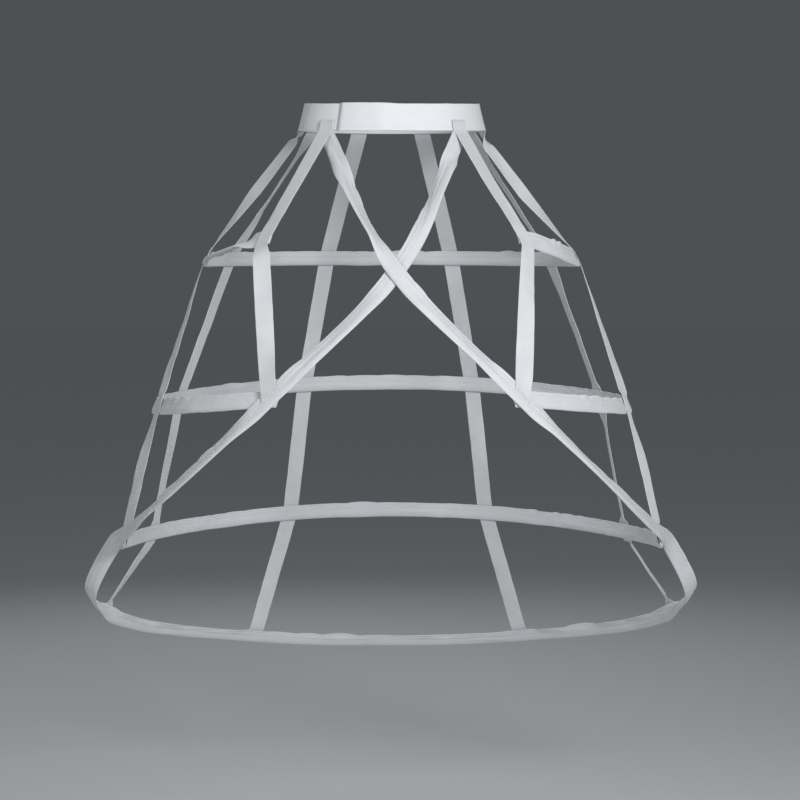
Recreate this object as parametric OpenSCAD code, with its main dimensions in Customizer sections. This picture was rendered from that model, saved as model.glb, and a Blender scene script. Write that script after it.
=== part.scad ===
// Crinoline cage: an open hoop skirt frame of white tapes and boned casings hung from a lapped waistband.
// Origin at the middle of the waist opening, at mid height of the band. +Z up, front towards -Y.
// Angles run from the front centre round towards +X. Left and right are as seen from the front.

/* [Waistband] */
// Half width of the waist opening at mid height of the band
waist_half_w = 134; // [115:1:155]
// Half depth of the waist opening at mid height of the band
waist_half_d = 104; // [90:1:120]
// Height of the band
band_h = 41; // [32:1:52]
// Thickness of the band
band_t = 1.8; // [1.2:0.1:2.6]
// Growth of both half axes from mid height to the lower edge
band_flare = 5; // [0:0.5:8]
// How far the band dips at the front centre
band_dip = 5; // [0:0.5:9]
// Length of the lap that closes the band
lap_len = 60; // [45:1:80]
// Distance from the left casing end to the edge of the upper lap
lap_edge_gap = 6; // [5:0.5:12]
// Length of the two closure strips inside the lap
closure_len = 48; // [30:1:56]
// Height of the two closure strips
closure_h = 25; // [16:1:28]
// Thickness of each closure strip
closure_t = 1.2; // [0.8:0.1:2]

/* [Tapes] */
// Width of the eight tapes
tape_w = 25; // [18:0.5:30]
// Thickness of the eight tapes
tape_t = 1; // [0.6:0.1:1.6]
// Height of the sewn tape end on the waistband
tape_end_h = 16; // [10:0.5:22]
// Waist angle of the front tapes and of the casing ends
front_waist_angle = 44; // [40:0.5:52]
// Waist angle of the side tapes
side_waist_angle = 106; // [96:0.5:107]
// Waist angle of the rear side tapes
rear_waist_angle = 123; // [122:0.5:136]
// Waist angle of the back tapes
back_waist_angle = 160; // [154:0.5:165]

/* [Bones and casings] */
// Width of the flat bone
bone_w = 12; // [8:0.5:15]
// Thickness of the flat bone
bone_t = 1.2; // [0.8:0.1:1.8]
// Wall of the cap on each bone end
tip_wall = 0.3; // [0.2:0.05:0.6]
// Length of the cap on each bone end
tip_len = 12; // [8:0.5:14]
// Thickness of the casing fabric
casing_wall = 0.8; // [0.5:0.05:1.2]
// Width of the sewn edge on each side of the bone channel
casing_edge = 5.5; // [3:0.5:7]
// Height of the casing ends on the waistband
casing_end_h = 15; // [8:0.5:20]

/* [Top hoop] */
// Half width at the middle of the casing
hoop_1_half_w = 275; // [250:1:300]
// Half depth at the middle of the casing
hoop_1_half_d = 248; // [230:1:270]
// Drop of the sides below the middle of the waistband
hoop_1_drop = 212; // [185:1:240]
// Rise of the front ends above the sides
hoop_1_front_rise = 30; // [0:1:45]
// Rise of the back above the sides
hoop_1_back_rise = 2; // [0:1:20]
// Angle from the front centre to each end
hoop_1_end_angle = 43.5; // [34:0.5:50]
// Angle of the side tapes on this hoop
hoop_1_side_angle = 90; // [82:0.5:98]
// Angle of the rear side tapes on this hoop
hoop_1_rear_angle = 119; // [112:0.5:126]
// Angle of the back tapes on this hoop
hoop_1_back_angle = 159.5; // [152:0.5:166]

/* [Middle hoop] */
// Half width at the middle of the casing
hoop_2_half_w = 355; // [330:1:380]
// Half depth at the middle of the casing
hoop_2_half_d = 320; // [300:1:340]
// Drop of the sides below the middle of the waistband
hoop_2_drop = 430; // [400:1:455]
// Rise of the front ends above the sides
hoop_2_front_rise = 22; // [8:1:36]
// Rise of the back above the sides
hoop_2_back_rise = 20; // [0:1:30]
// Angle from the front centre to each end
hoop_2_end_angle = 29.5; // [24:0.5:36]
// Angle of the side tapes on this hoop
hoop_2_side_angle = 74; // [68:0.5:82]
// Angle of the rear side tapes on this hoop
hoop_2_rear_angle = 115; // [108:0.5:122]
// Angle of the back tapes on this hoop
hoop_2_back_angle = 158; // [150:0.5:165]

/* [Lower hoop] */
// Half width at the middle of the casing
hoop_3_half_w = 403; // [380:1:425]
// Half depth at the middle of the casing
hoop_3_half_d = 365; // [345:1:385]
// Drop of the lowest place below the middle of the waistband
hoop_3_drop = 638; // [610:1:660]
// Angle of the lowest place
hoop_3_low_angle = 100; // [96:0.5:104]
// Rise of the front ends above the lowest place
hoop_3_front_rise = 11; // [0:1:20]
// Rise of the back above the lowest place
hoop_3_back_rise = 18; // [0:1:32]
// How far the ends hang below the middle of the crossing bone
hoop_3_end_hang = 5; // [0:0.5:8]
// Angle from the front centre to each end
hoop_3_end_angle = 80; // [75:0.5:86]
// Angle of the rear side tapes on this hoop
hoop_3_rear_angle = 115; // [109:0.5:121]
// Angle of the back tapes on this hoop
hoop_3_back_angle = 157; // [150:0.5:163]

/* [Crossing and hem] */
// Distance of the front crossing before the waist centre
cross_d = 250; // [225:1:275]
// Drop of the front crossing
cross_drop = 229; // [205:1:255]
// Half width of the hem at its widest
hem_half_w = 459; // [440:1:480]
// How strongly the crossing bone turns backwards at the lower hoop's ends
hem_wrap = 4; // [3.5:0.25:5]
// Length that the crossing bone runs straight on past the lower hoop's end
hem_run_on = 60; // [45:1:75]
// Distance of the widest place behind the waist centre
hem_side_d = 60; // [40:1:80]
// Drop of the hem at its widest
hem_side_drop = 718; // [700:1:735]
// Drop of the hem at the rear side tapes
hem_rear_drop = 764; // [745:1:785]
// Drop of the hem at the back tapes
hem_back_tape_drop = 828; // [812:1:836]
// Distance of the hem's back behind the waist centre
hem_back_d = 405; // [385:1:425]
// Drop of the hem at its back
hem_back_drop = 841; // [832:1:862]
// Angle of the rear side tapes on the hem, about the middle of its back half
hem_rear_angle = 107; // [103:0.5:114]
// Angle of the back tapes on the hem, about the middle of its back half
hem_back_angle = 151.5; // [146:0.5:157]

/* [Fits] */
// Gap between sewn layers
layer_gap = 0.3; // [0.2:0.05:0.6]
// Play of the capped bone in its channel, each side
bone_play = 0.2; // [0.15:0.05:0.5]
// Play of the bone in its cap, each side
tip_play = 0.18; // [0.14:0.02:0.24]
// Length of the hem casing that stays empty after its bend at the waistband
bend_clear = 10; // [6:0.5:12]
// Free length beyond each bone end inside its casing
bone_end_play = 7; // [4:0.5:10]
// How far a tape stays flat beyond the edge of a casing
edge_margin = 2; // [1.5:0.25:4]

/* [Hidden] */

WHITE = [0.93, 0.94, 0.96];
TAPE_WHITE = [0.88, 0.89, 0.92];
BONE_GREY = [0.78, 0.79, 0.80];
TIP_GREY = [0.62, 0.64, 0.66];

// Rings in one turn of a hoop, in one full span of a tape and along the band
HOOP_RINGS_PER_TURN = 68;
TAPE_SPAN_RINGS = 5;
BAND_STEP = 5;
LAP_STEPS = 6;
// Rings in each span of the hem path, from the waist to the back centre
HEM_SPAN_RINGS = [8, 8, 11, 2, 5, 4, 9, 6];

casing_t = bone_t + 2 * (tip_play + tip_wall + bone_play + casing_wall);
channel_half_w = bone_w / 2 + tip_play + tip_wall + 2 * bone_play;
channel_half_t = casing_t / 2 - casing_wall;
casing_w = 2 * (channel_half_w + casing_edge);

// Distances from the middle of one layer to the middle of the next
casing_to_tape = casing_t / 2 + layer_gap + tape_t / 2;
casing_to_casing = casing_t + 2 * layer_gap;
band_to_tape = band_t / 2 + layer_gap + tape_t / 2;
band_to_casing = band_t / 2 + layer_gap + casing_t / 2;
lap_lift = band_t + 2 * closure_t + 3 * layer_gap;

band_half_w = waist_half_w + band_t / 2;
band_half_d = waist_half_d + band_t / 2;
band_lean = atan(band_flare / (band_h / 2));

function unit(v) = v / norm(v);
function mix(a, b, t) = a + (b - a) * t;
function smooth(t) = let (u = min(max(t, 0), 1)) u * u * (3 - 2 * u);
function mirrored(p) = [-p[0], p[1], p[2]];
function flat_part(v, n) = v - n * (v * n);

// Outward direction of an ellipse in plan, tilted up by the lean of the cage wall
function leaning_out(half_w, half_d, angle, lean) =
    let (plan = unit([sin(angle) / half_w, -cos(angle) / half_d]))
    [plan[0] * cos(lean), plan[1] * cos(lean), sin(lean)];

// Waistband: half height v runs from -1 at the lower edge to 1 at the upper edge
function band_out(angle) = leaning_out(band_half_w, band_half_d, angle, band_lean);
function band_point(angle, v) =
    let (grow = -v * band_flare, dip = band_dip * max(cos(angle), 0))
    [(band_half_w + grow) * sin(angle), -(band_half_d + grow) * cos(angle), v * band_h / 2 - dip];
function band_mm_per_degree(angle) =
    norm(band_point(angle + 0.5, 0) - band_point(angle - 0.5, 0));

lap_edge_angle = -front_waist_angle
    + (casing_w / 2 + lap_edge_gap) / band_mm_per_degree(front_waist_angle);
lap_inner_angle = lap_edge_angle + lap_len / band_mm_per_degree(lap_edge_angle);
lap_blend_angle = lap_inner_angle + lap_len / 2 / band_mm_per_degree(lap_inner_angle);
function lap_rise(angle) =
    lap_lift * smooth((lap_blend_angle - angle) / (lap_blend_angle - lap_inner_angle));

// Slopes of the cage wall between neighbouring rings, from vertical
slope_1 = atan((hoop_1_half_w - band_half_w) / hoop_1_drop);
slope_2 = atan((hoop_2_half_w - hoop_1_half_w) / (hoop_2_drop - hoop_1_drop));
slope_3 = atan((hoop_3_half_w - hoop_2_half_w) / (hoop_3_drop - hoop_2_drop));
slope_4 = atan((hem_half_w - hoop_3_half_w) / (hem_side_drop - hoop_3_drop));

// A hoop: half width, half depth, drop, front rise, back rise, end angle, lean, lowest angle
WIDEST = 90;
HOOP_1 = [hoop_1_half_w, hoop_1_half_d, hoop_1_drop, hoop_1_front_rise, hoop_1_back_rise,
    hoop_1_end_angle, (slope_1 + slope_2) / 2, WIDEST];
HOOP_2 = [hoop_2_half_w, hoop_2_half_d, hoop_2_drop, hoop_2_front_rise, hoop_2_back_rise,
    hoop_2_end_angle, (slope_2 + slope_3) / 2, WIDEST];
HOOP_3 = [hoop_3_half_w, hoop_3_half_d, hoop_3_drop, hoop_3_front_rise, hoop_3_back_rise,
    hoop_3_end_angle, slope_3, hoop_3_low_angle];

function hoop_point(hoop, angle) =
    let (
        low = cos(hoop[7]),
        facing = cos(angle) - low,
        rise = facing > 0 ? hoop[3] * pow(facing / (cos(hoop[5]) - low), 2)
            : hoop[4] * pow(facing / (1 + low), 2)
    )
    [hoop[0] * sin(angle), -hoop[1] * cos(angle), rise - hoop[2]];
function hoop_out(hoop, angle) = leaning_out(hoop[0], hoop[1], angle, hoop[6]);
function hoop_along(hoop, angle) =
    unit(hoop_point(hoop, angle + 0.5) - hoop_point(hoop, angle - 0.5));
function hoop_mm_per_degree(hoop, angle) =
    norm(hoop_point(hoop, angle + 0.5) - hoop_point(hoop, angle - 0.5));

// A place on a casing: middle, outward direction, direction up the casing's height
function hoop_place(hoop, angle) =
    let (out = unit(flat_part(hoop_out(hoop, angle), hoop_along(hoop, angle))))
    [hoop_point(hoop, angle), out, cross(hoop_along(hoop, angle), out) * -1];

// Path of a hoop from one end, past the back, to the other end, with its ends reaching over by half a width
function hoop_path(hoop, reach) =
    let (
        first = hoop[5] - reach / hoop_mm_per_degree(hoop, hoop[5]),
        steps = ceil((360 - 2 * first) / 360 * HOOP_RINGS_PER_TURN)
    )
    [for (i = [0:steps])
        let (angle = mix(first, 360 - first, i / steps))
        [hoop_point(hoop, angle), hoop_out(hoop, angle)]];

// How far the straight pieces of a hoop's path lie inside its true curve
function hoop_sag(hoop) = hoop[0] * (1 - cos(180 / HOOP_RINGS_PER_TURN));

// Hem path: one bone from the waist, over the front crossing, round the hem and back up
function hem_ring(angle, drop) =
    [hem_half_w * sin(angle), hem_side_d - (hem_back_d - hem_side_d) * cos(angle), -drop];
function hem_out(angle) = leaning_out(hem_half_w, hem_back_d - hem_side_d, angle, slope_4);
function chord_tangent(before, here, after) =
    let (a = norm(here - before), b = norm(after - here))
    ((after - here) / b * a + (here - before) / a * b) / (a + b);

// A run turned in depth alone until it lies square to an outward direction
function lying_flat(run, out) =
    unit([run[0], -(run[0] * out[0] + run[2] * out[2]) / out[1], run[2]]);

waist_place = band_point(front_waist_angle, -1 - 2 * edge_margin / band_h)
    + band_out(front_waist_angle) * band_to_casing;
H2_FRONT = hoop_place(HOOP_2, hoop_2_end_angle);
H3_SIDE = hoop_place(HOOP_3, hoop_3_end_angle);
hoop_2_end_place = H2_FRONT[0] + H2_FRONT[1] * casing_to_casing;
// The crossing bone bends over the lower hoop's end, so it stands one more gap away there
hoop_3_end_place = H3_SIDE[0] + H3_SIDE[1] * (casing_to_casing + layer_gap)
    + H3_SIDE[2] * hoop_3_end_hang;
cross_point = [0, -cross_d, -cross_drop];
// Runs of the crossing bone: flat on the middle hoop, then wrapped round to the lower hoop's end
hoop_2_run = lying_flat(chord_tangent(cross_point, hoop_2_end_place, hoop_3_end_place), H2_FRONT[1]);
down_run = hoop_3_end_place - hoop_2_end_place;
hoop_3_run = unit([down_run[0], down_run[1] * hem_wrap, down_run[2]]);
hem_run_on_place = hoop_3_end_place + hoop_3_run * hem_run_on;
cross_run = chord_tangent(mirrored(waist_place), cross_point, hoop_2_end_place);
cross_out = unit([0, cross_run[2], -cross_run[1]]);

// Right half of the hem, from the middle hoop's end to the back centre: place, outward direction
// and, on a hoop, the run of the bone
HEM_SIDE = [
    [hoop_2_end_place, H2_FRONT[1], hoop_2_run],
    [hoop_3_end_place, H3_SIDE[1], hoop_3_run],
    [hem_run_on_place, unit(H3_SIDE[1] + hem_out(WIDEST))],
    [hem_ring(WIDEST, hem_side_drop), hem_out(WIDEST)],
    [hem_ring(hem_rear_angle, hem_rear_drop), hem_out(hem_rear_angle)],
    [hem_ring(hem_back_angle, hem_back_tape_drop), hem_out(hem_back_angle)]
];
function mirrored_stop(stop) = [
    mirrored(stop[0]),
    mirrored(stop[1]),
    is_undef(stop[2]) ? undef : -mirrored(stop[2])
];
function reversed(list) = [for (i = [len(list) - 1:-1:0]) list[i]];
HEM_STOPS = concat(
    [[mirrored(waist_place), mirrored(band_out(front_waist_angle))]],
    [[cross_point + cross_out * casing_to_casing / 2, cross_out]],
    HEM_SIDE,
    [[hem_ring(180, hem_back_drop), hem_out(180)]],
    [for (stop = reversed(HEM_SIDE)) mirrored_stop(stop)],
    [[cross_point - cross_out * casing_to_casing / 2, cross_out]],
    [[waist_place, band_out(front_waist_angle)]]
);
HEM_RINGS = concat(HEM_SPAN_RINGS, reversed(HEM_SPAN_RINGS));

function stop_tangent(stops, i) =
    i == 0 ? unit(stops[1][0] - stops[0][0])
    : i == len(stops) - 1 ? unit(stops[i][0] - stops[i - 1][0])
    : is_undef(stops[i][2]) ? chord_tangent(stops[i - 1][0], stops[i][0], stops[i + 1][0])
    : stops[i][2];

// Smooth curve through all stops, one cubic for each span
function hem_span(stops, i, rings) =
    let (
        a = stops[i],
        b = stops[i + 1],
        chord = norm(b[0] - a[0]),
        leave = stop_tangent(stops, i) * chord,
        arrive = stop_tangent(stops, i + 1) * chord
    )
    [for (k = [0:rings - 1])
        let (t = k / rings, u = 1 - t)
        [
            a[0] * (1 + 2 * t) * u * u + leave * t * u * u
                + b[0] * t * t * (3 - 2 * t) - arrive * t * t * u,
            mix(a[1], b[1], smooth(t))
        ]];
HEM_LINE = concat(
    [for (i = [0:len(HEM_STOPS) - 2]) each hem_span(HEM_STOPS, i, HEM_RINGS[i])],
    [HEM_STOPS[len(HEM_STOPS) - 1]]
);
// A stop on the straight first span of a path, at a distance from its start
function first_stop(path, distance) =
    let (t = distance / norm(path[1][0] - path[0][0]))
    [mix(path[0][0], path[1][0], t), mix(path[0][1], path[1][1], t)];
// A path shortened by the same distance at both ends
function shortened(path, distance) = concat(
    [first_stop(path, distance)],
    [for (i = [1:len(path) - 2]) path[i]],
    [first_stop(reversed(path), distance)]
);
// The bone keeps clear of the bend at the waistband
HEM_BONE_PATH = shortened(HEM_LINE, bend_clear);
// The casing runs on, upright, over the outside of the waistband
casing_end_stop = [
    band_point(front_waist_angle, 2 * casing_end_h / band_h - 1)
        + band_out(front_waist_angle) * band_to_casing,
    band_out(front_waist_angle)
];
HEM_CASING_PATH = concat(
    [mirrored_stop(casing_end_stop), HEM_LINE[0]],
    HEM_BONE_PATH,
    [HEM_LINE[len(HEM_LINE) - 1], casing_end_stop]
);

// A place on the hem, in the same form as a place on a hoop
function hem_place(i) =
    let (
        along = unit(stop_tangent(HEM_STOPS, i)),
        out = unit(flat_part(HEM_STOPS[i][1], along))
    )
    [HEM_STOPS[i][0], out, cross(along, out) * -1];
HEM_REAR_STOP = 6;
HEM_BACK_STOP = 7;

// Where a tape lies on a casing: towards the next place, flat on the casing as far as its edge and a margin
function tape_edge(place, target, lift, reach) =
    let (
        toward = unit(flat_part(target - place[0], place[1])),
        run = reach / abs(toward * place[2])
    )
    [place[0] + place[1] * lift + toward * run, place[1]];
function tape_middle(place, lift) = [place[0] + place[1] * lift, place[1]];
function tape_crossing(before, place, after) = [
    tape_edge(place, before[0], casing_to_tape, casing_w / 2 + edge_margin),
    tape_middle(place, casing_to_tape),
    tape_edge(place, after[0], casing_to_tape, casing_w / 2 + edge_margin)
];
function tape_ending(before, place, lift) = [
    tape_edge(place, before[0], lift, casing_w / 2 + edge_margin),
    tape_middle(place, lift),
    tape_edge(place, 2 * place[0] - before[0], lift, casing_w / 2)
];
function tape_start(angle, lift) = [
    [band_point(angle, 2 * tape_end_h / band_h - 1) + band_out(angle) * lift, band_out(angle)],
    [band_point(angle, -1) + band_out(angle) * lift, band_out(angle)]
];
function waist_stop(angle) = [band_point(angle, -1), band_out(angle)];

// Fill the free spans between the sewn places
function tape_span(a, b) = [
    for (k = [1:TAPE_SPAN_RINGS - 1])
        let (t = k / TAPE_SPAN_RINGS)
        [mix(a[0], b[0], t), unit(mix(a[1], b[1], t))]
];
function tape_path(groups) = [
    for (i = [0:len(groups) - 1])
        each concat(
            groups[i],
            i < len(groups) - 1 ? tape_span(groups[i][len(groups[i]) - 1], groups[i + 1][0]) : []
        )
];

H1_FRONT = hoop_place(HOOP_1, hoop_1_end_angle);
H1_SIDE = hoop_place(HOOP_1, hoop_1_side_angle);
H1_REAR = hoop_place(HOOP_1, hoop_1_rear_angle);
H1_BACK = hoop_place(HOOP_1, hoop_1_back_angle);
H2_SIDE = hoop_place(HOOP_2, hoop_2_side_angle);
H2_REAR = hoop_place(HOOP_2, hoop_2_rear_angle);
H2_BACK = hoop_place(HOOP_2, hoop_2_back_angle);
H3_REAR = hoop_place(HOOP_3, hoop_3_rear_angle);
H3_BACK = hoop_place(HOOP_3, hoop_3_back_angle);
HEM_REAR = hem_place(HEM_REAR_STOP);
HEM_BACK = hem_place(HEM_BACK_STOP);

FRONT_TAPE_PATH = tape_path([
    tape_start(front_waist_angle, band_to_tape + casing_t + layer_gap),
    tape_crossing(waist_stop(front_waist_angle), H1_FRONT, H2_FRONT),
    tape_ending(H1_FRONT, H2_FRONT, casing_to_tape + casing_to_casing)
]);
SIDE_TAPE_PATH = tape_path([
    tape_start(side_waist_angle, band_to_tape),
    tape_crossing(waist_stop(side_waist_angle), H1_SIDE, H2_SIDE),
    tape_crossing(H1_SIDE, H2_SIDE, H3_SIDE),
    tape_ending(H2_SIDE, H3_SIDE, -casing_to_tape - hoop_sag(HOOP_3))
]);
REAR_TAPE_PATH = tape_path([
    tape_start(rear_waist_angle, band_to_tape),
    tape_crossing(waist_stop(rear_waist_angle), H1_REAR, H2_REAR),
    tape_crossing(H1_REAR, H2_REAR, H3_REAR),
    tape_crossing(H2_REAR, H3_REAR, HEM_REAR),
    tape_ending(H3_REAR, HEM_REAR, casing_to_tape)
]);
BACK_TAPE_PATH = tape_path([
    tape_start(back_waist_angle, band_to_tape),
    tape_crossing(waist_stop(back_waist_angle), H1_BACK, H2_BACK),
    tape_crossing(H1_BACK, H2_BACK, H3_BACK),
    tape_crossing(H2_BACK, H3_BACK, HEM_BACK),
    tape_ending(H3_BACK, HEM_BACK, casing_to_tape)
]);

HOOP_1_PATH = hoop_path(HOOP_1, tape_w / 2);
HOOP_2_PATH = hoop_path(HOOP_2, casing_w / 2);
HOOP_3_PATH = hoop_path(HOOP_3, tape_w / 2 - edge_margin);

// Frame of each ring: middle, across, outward
function ring_tangent(path, i) =
    i == 0 ? unit(path[1][0] - path[0][0])
    : i == len(path) - 1 ? unit(path[i][0] - path[i - 1][0])
    : unit(unit(path[i + 1][0] - path[i][0]) + unit(path[i][0] - path[i - 1][0]));
function ring_frame(path, i) =
    let (
        run = ring_tangent(path, i),
        out = unit(flat_part(path[i][1], run))
    )
    [path[i][0], cross(run, out), out];
function ring_points(path, section) = [
    for (i = [0:len(path) - 1])
        let (frame = ring_frame(path, i))
        for (s = section) frame[0] + frame[1] * s[0] + frame[2] * s[1]
];

// Triangles of the wall between rings of n points, then of the flat ends
function wall_faces(rings, n, start) = [
    for (i = [0:rings - 2])
        for (j = [0:n - 1])
            let (
                a = start + i * n + j,
                b = start + i * n + (j + 1) % n,
                c = b + n,
                d = a + n
            )
            each [[a, b, c], [a, c, d]]
];
function turned(faces) = [for (f = faces) [f[2], f[1], f[0]]];
function fan(n, start) = [for (j = [1:n - 2]) [start, start + j + 1, start + j]];
function rim(n, outer, inner) = [
    for (j = [0:n - 1])
        let (k = (j + 1) % n)
        each [[outer + j, inner + j, inner + k], [outer + j, inner + k, outer + k]]
];

function box_section(width, thickness) = [
    [-width / 2, -thickness / 2],
    [width / 2, -thickness / 2],
    [width / 2, thickness / 2],
    [-width / 2, thickness / 2]
];
function sleeve_section(half_flat, half_w, half_t) = [
    [-half_w, 0],
    [-half_flat, -half_t],
    [half_flat, -half_t],
    [half_w, 0],
    [half_flat, half_t],
    [-half_flat, half_t]
];
CASING_OUTER = sleeve_section(channel_half_w, casing_w / 2, casing_t / 2);
CASING_INNER = sleeve_section(channel_half_w, channel_half_w + casing_edge / 2, channel_half_t);

// A solid strip along a path
module strip(path, section) {
    n = len(section);
    rings = len(path);
    polyhedron(
        points = ring_points(path, section),
        faces = concat(wall_faces(rings, n, 0), fan(n, 0), turned(fan(n, (rings - 1) * n))),
        convexity = 8
    );
}

// A hollow sleeve along a path, open at both ends
module sleeve(path, outer, inner) {
    n = len(outer);
    rings = len(path);
    count = rings * n;
    last = (rings - 1) * n;
    polyhedron(
        points = concat(ring_points(path, outer), ring_points(path, inner)),
        faces = concat(
            wall_faces(rings, n, 0),
            turned(wall_faces(rings, n, count)),
            rim(n, 0, count),
            turned(rim(n, last, count + last))
        ),
        convexity = 8
    );
}

// A cap: closed at the far end, with a pocket from the near end
module cap(path, pocket_path, outer, pocket) {
    n = len(outer);
    count = 2 * n;
    polyhedron(
        points = concat(ring_points(path, outer), ring_points(pocket_path, pocket)),
        faces = concat(
            wall_faces(2, n, 0),
            turned(wall_faces(2, n, count)),
            rim(n, 0, count),
            turned(fan(n, n)),
            fan(n, count + n)
        ),
        convexity = 4
    );
}

module casing(path) {
    color(WHITE) sleeve(path, CASING_OUTER, CASING_INNER);
}

// The bone runs along the casing's own rings and stops short of both ends
module bone(path) {
    color(BONE_GREY) strip(shortened(path, bone_end_play), box_section(bone_w, bone_t));
}

// The cap reaches over the bone by its length less the closed end
module bone_tip(path) {
    closed_end = bone_end_play - tip_wall - tip_play;
    bone_stop = bone_end_play - tip_play;
    mouth = first_stop(path, closed_end + tip_len);
    color(TIP_GREY) cap(
        [mouth, first_stop(path, closed_end)],
        [mouth, first_stop(path, bone_stop)],
        box_section(bone_w + 2 * (tip_play + tip_wall), bone_t + 2 * (tip_play + tip_wall)),
        box_section(bone_w + 2 * tip_play, bone_t + 2 * tip_play)
    );
}

module tape(path) {
    color(TAPE_WHITE) strip(path, box_section(tape_w, tape_t));
}

module left_side() {
    mirror([1, 0, 0]) children();
}

// The band starts at the edge of its upper lap and ends below it, one turn later
function band_stop(angle, rise) = [band_point(angle, 0) + band_out(angle) * rise, band_out(angle)];
function band_angles() = concat(
    [for (i = [0:LAP_STEPS - 1]) mix(lap_edge_angle, lap_inner_angle, i / LAP_STEPS)],
    [for (i = [0:LAP_STEPS - 1]) mix(lap_inner_angle, lap_blend_angle, i / LAP_STEPS)],
    [for (a = [lap_blend_angle:BAND_STEP:lap_edge_angle + 360 - BAND_STEP / 2]) a],
    [for (i = [0:LAP_STEPS]) mix(lap_edge_angle, lap_inner_angle, i / LAP_STEPS) + 360]
);

module waistband() {
    color(WHITE) strip(
        [for (a = band_angles()) band_stop(a, a < lap_blend_angle ? lap_rise(a) : 0)],
        box_section(band_h, band_t)
    );
}

// The closure strips lie in the middle of the lap, on the band's own rings
function closure_path(rise) =
    let (
        middle = (lap_edge_angle + lap_inner_angle) / 2,
        half = (lap_inner_angle - lap_edge_angle) / 2 * closure_len / lap_len
    )
    [for (i = [0:LAP_STEPS]) band_stop(mix(middle - half, middle + half, i / LAP_STEPS), rise)];

module closure_loop_strip() {
    rise = band_t / 2 + layer_gap + closure_t / 2;
    color(WHITE) strip(closure_path(rise), box_section(closure_h, closure_t));
}

module closure_hook_strip() {
    rise = lap_lift - band_t / 2 - layer_gap - closure_t / 2;
    color(TAPE_WHITE) strip(closure_path(rise), box_section(closure_h, closure_t));
}

module tape_front_right() { tape(FRONT_TAPE_PATH); }
module tape_front_left() { left_side() tape_front_right(); }
module tape_side_right() { tape(SIDE_TAPE_PATH); }
module tape_side_left() { left_side() tape_side_right(); }
module tape_rear_side_right() { tape(REAR_TAPE_PATH); }
module tape_rear_side_left() { left_side() tape_rear_side_right(); }
module tape_back_right() { tape(BACK_TAPE_PATH); }
module tape_back_left() { left_side() tape_back_right(); }

module hoop_1_casing() { casing(HOOP_1_PATH); }
module hoop_2_casing() { casing(HOOP_2_PATH); }
module hoop_3_casing() { casing(HOOP_3_PATH); }
module hem_casing() { casing(HEM_CASING_PATH); }

module hoop_1_bone() { bone(HOOP_1_PATH); }
module hoop_2_bone() { bone(HOOP_2_PATH); }
module hoop_3_bone() { bone(HOOP_3_PATH); }
module hem_bone() { bone(HEM_BONE_PATH); }

module hoop_1_tip_right() { bone_tip(HOOP_1_PATH); }
module hoop_1_tip_left() { bone_tip(reversed(HOOP_1_PATH)); }
module hoop_2_tip_right() { bone_tip(HOOP_2_PATH); }
module hoop_2_tip_left() { bone_tip(reversed(HOOP_2_PATH)); }
module hoop_3_tip_right() { bone_tip(HOOP_3_PATH); }
module hoop_3_tip_left() { bone_tip(reversed(HOOP_3_PATH)); }
module hem_tip_left() { bone_tip(HEM_BONE_PATH); }
module hem_tip_right() { bone_tip(reversed(HEM_BONE_PATH)); }

waistband();
closure_loop_strip();
closure_hook_strip();
tape_front_left();
tape_front_right();
tape_side_left();
tape_side_right();
tape_rear_side_left();
tape_rear_side_right();
tape_back_left();
tape_back_right();
hoop_1_casing();
hoop_2_casing();
hoop_3_casing();
hem_casing();
hoop_1_bone();
hoop_2_bone();
hoop_3_bone();
hem_bone();
hoop_1_tip_left();
hoop_1_tip_right();
hoop_2_tip_left();
hoop_2_tip_right();
hoop_3_tip_left();
hoop_3_tip_right();
hem_tip_left();
hem_tip_right();
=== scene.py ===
"""Looks of the crinoline cage: woven band, twill tapes, boned casings, stitching and closure pile.

Paths repeat the construction sizes in millimetres, so that each soft piece lies where its solid is.
"""

import logging
import math
from dataclasses import dataclass, field
from enum import Enum
from functools import partial
from typing import ClassVar

import bpy
import numpy as np
from bpy.types import Material, Mesh, Node, NodeSocket, NodeTree, Object
from mathutils import Matrix, Vector


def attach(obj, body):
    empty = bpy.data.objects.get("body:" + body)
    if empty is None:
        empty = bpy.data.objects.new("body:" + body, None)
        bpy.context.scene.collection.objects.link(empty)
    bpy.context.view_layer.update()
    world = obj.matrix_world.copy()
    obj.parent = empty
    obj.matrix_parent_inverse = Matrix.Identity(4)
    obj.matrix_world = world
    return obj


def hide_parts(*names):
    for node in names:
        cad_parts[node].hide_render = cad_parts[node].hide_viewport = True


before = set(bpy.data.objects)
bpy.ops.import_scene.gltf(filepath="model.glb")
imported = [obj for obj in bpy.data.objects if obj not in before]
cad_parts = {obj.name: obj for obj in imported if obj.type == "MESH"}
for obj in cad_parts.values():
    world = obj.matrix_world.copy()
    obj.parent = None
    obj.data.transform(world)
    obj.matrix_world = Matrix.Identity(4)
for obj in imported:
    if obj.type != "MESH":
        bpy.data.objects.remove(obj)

LOG = logging.getLogger("crinoline_cage")
MM = 0.001
BODY = "root"
Array = np.ndarray
Pair = tuple[float, float]
Paint = tuple[float, float, float, float]
# A sewn place: its middle, its outward direction and its upward direction.
Place = tuple[Array, Array, Array]
# What turns a place on the right into one on the left.
MIRROR = np.array([-1.0, 1.0, 1.0])


def unit(v: Array) -> Array:
    """Vectors of length one along the last axis."""
    return v / np.linalg.norm(v, axis=-1, keepdims=True)


def smooth(t: Array) -> Array:
    """Ease from 0 to 1."""
    t = np.clip(t, 0, 1)
    return t * t * (3 - 2 * t)


def at_least(least: float, share: Array) -> Array:
    """A share from 0 to 1, raised so that it starts at a least value."""
    return least + (1 - least) * share


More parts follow.
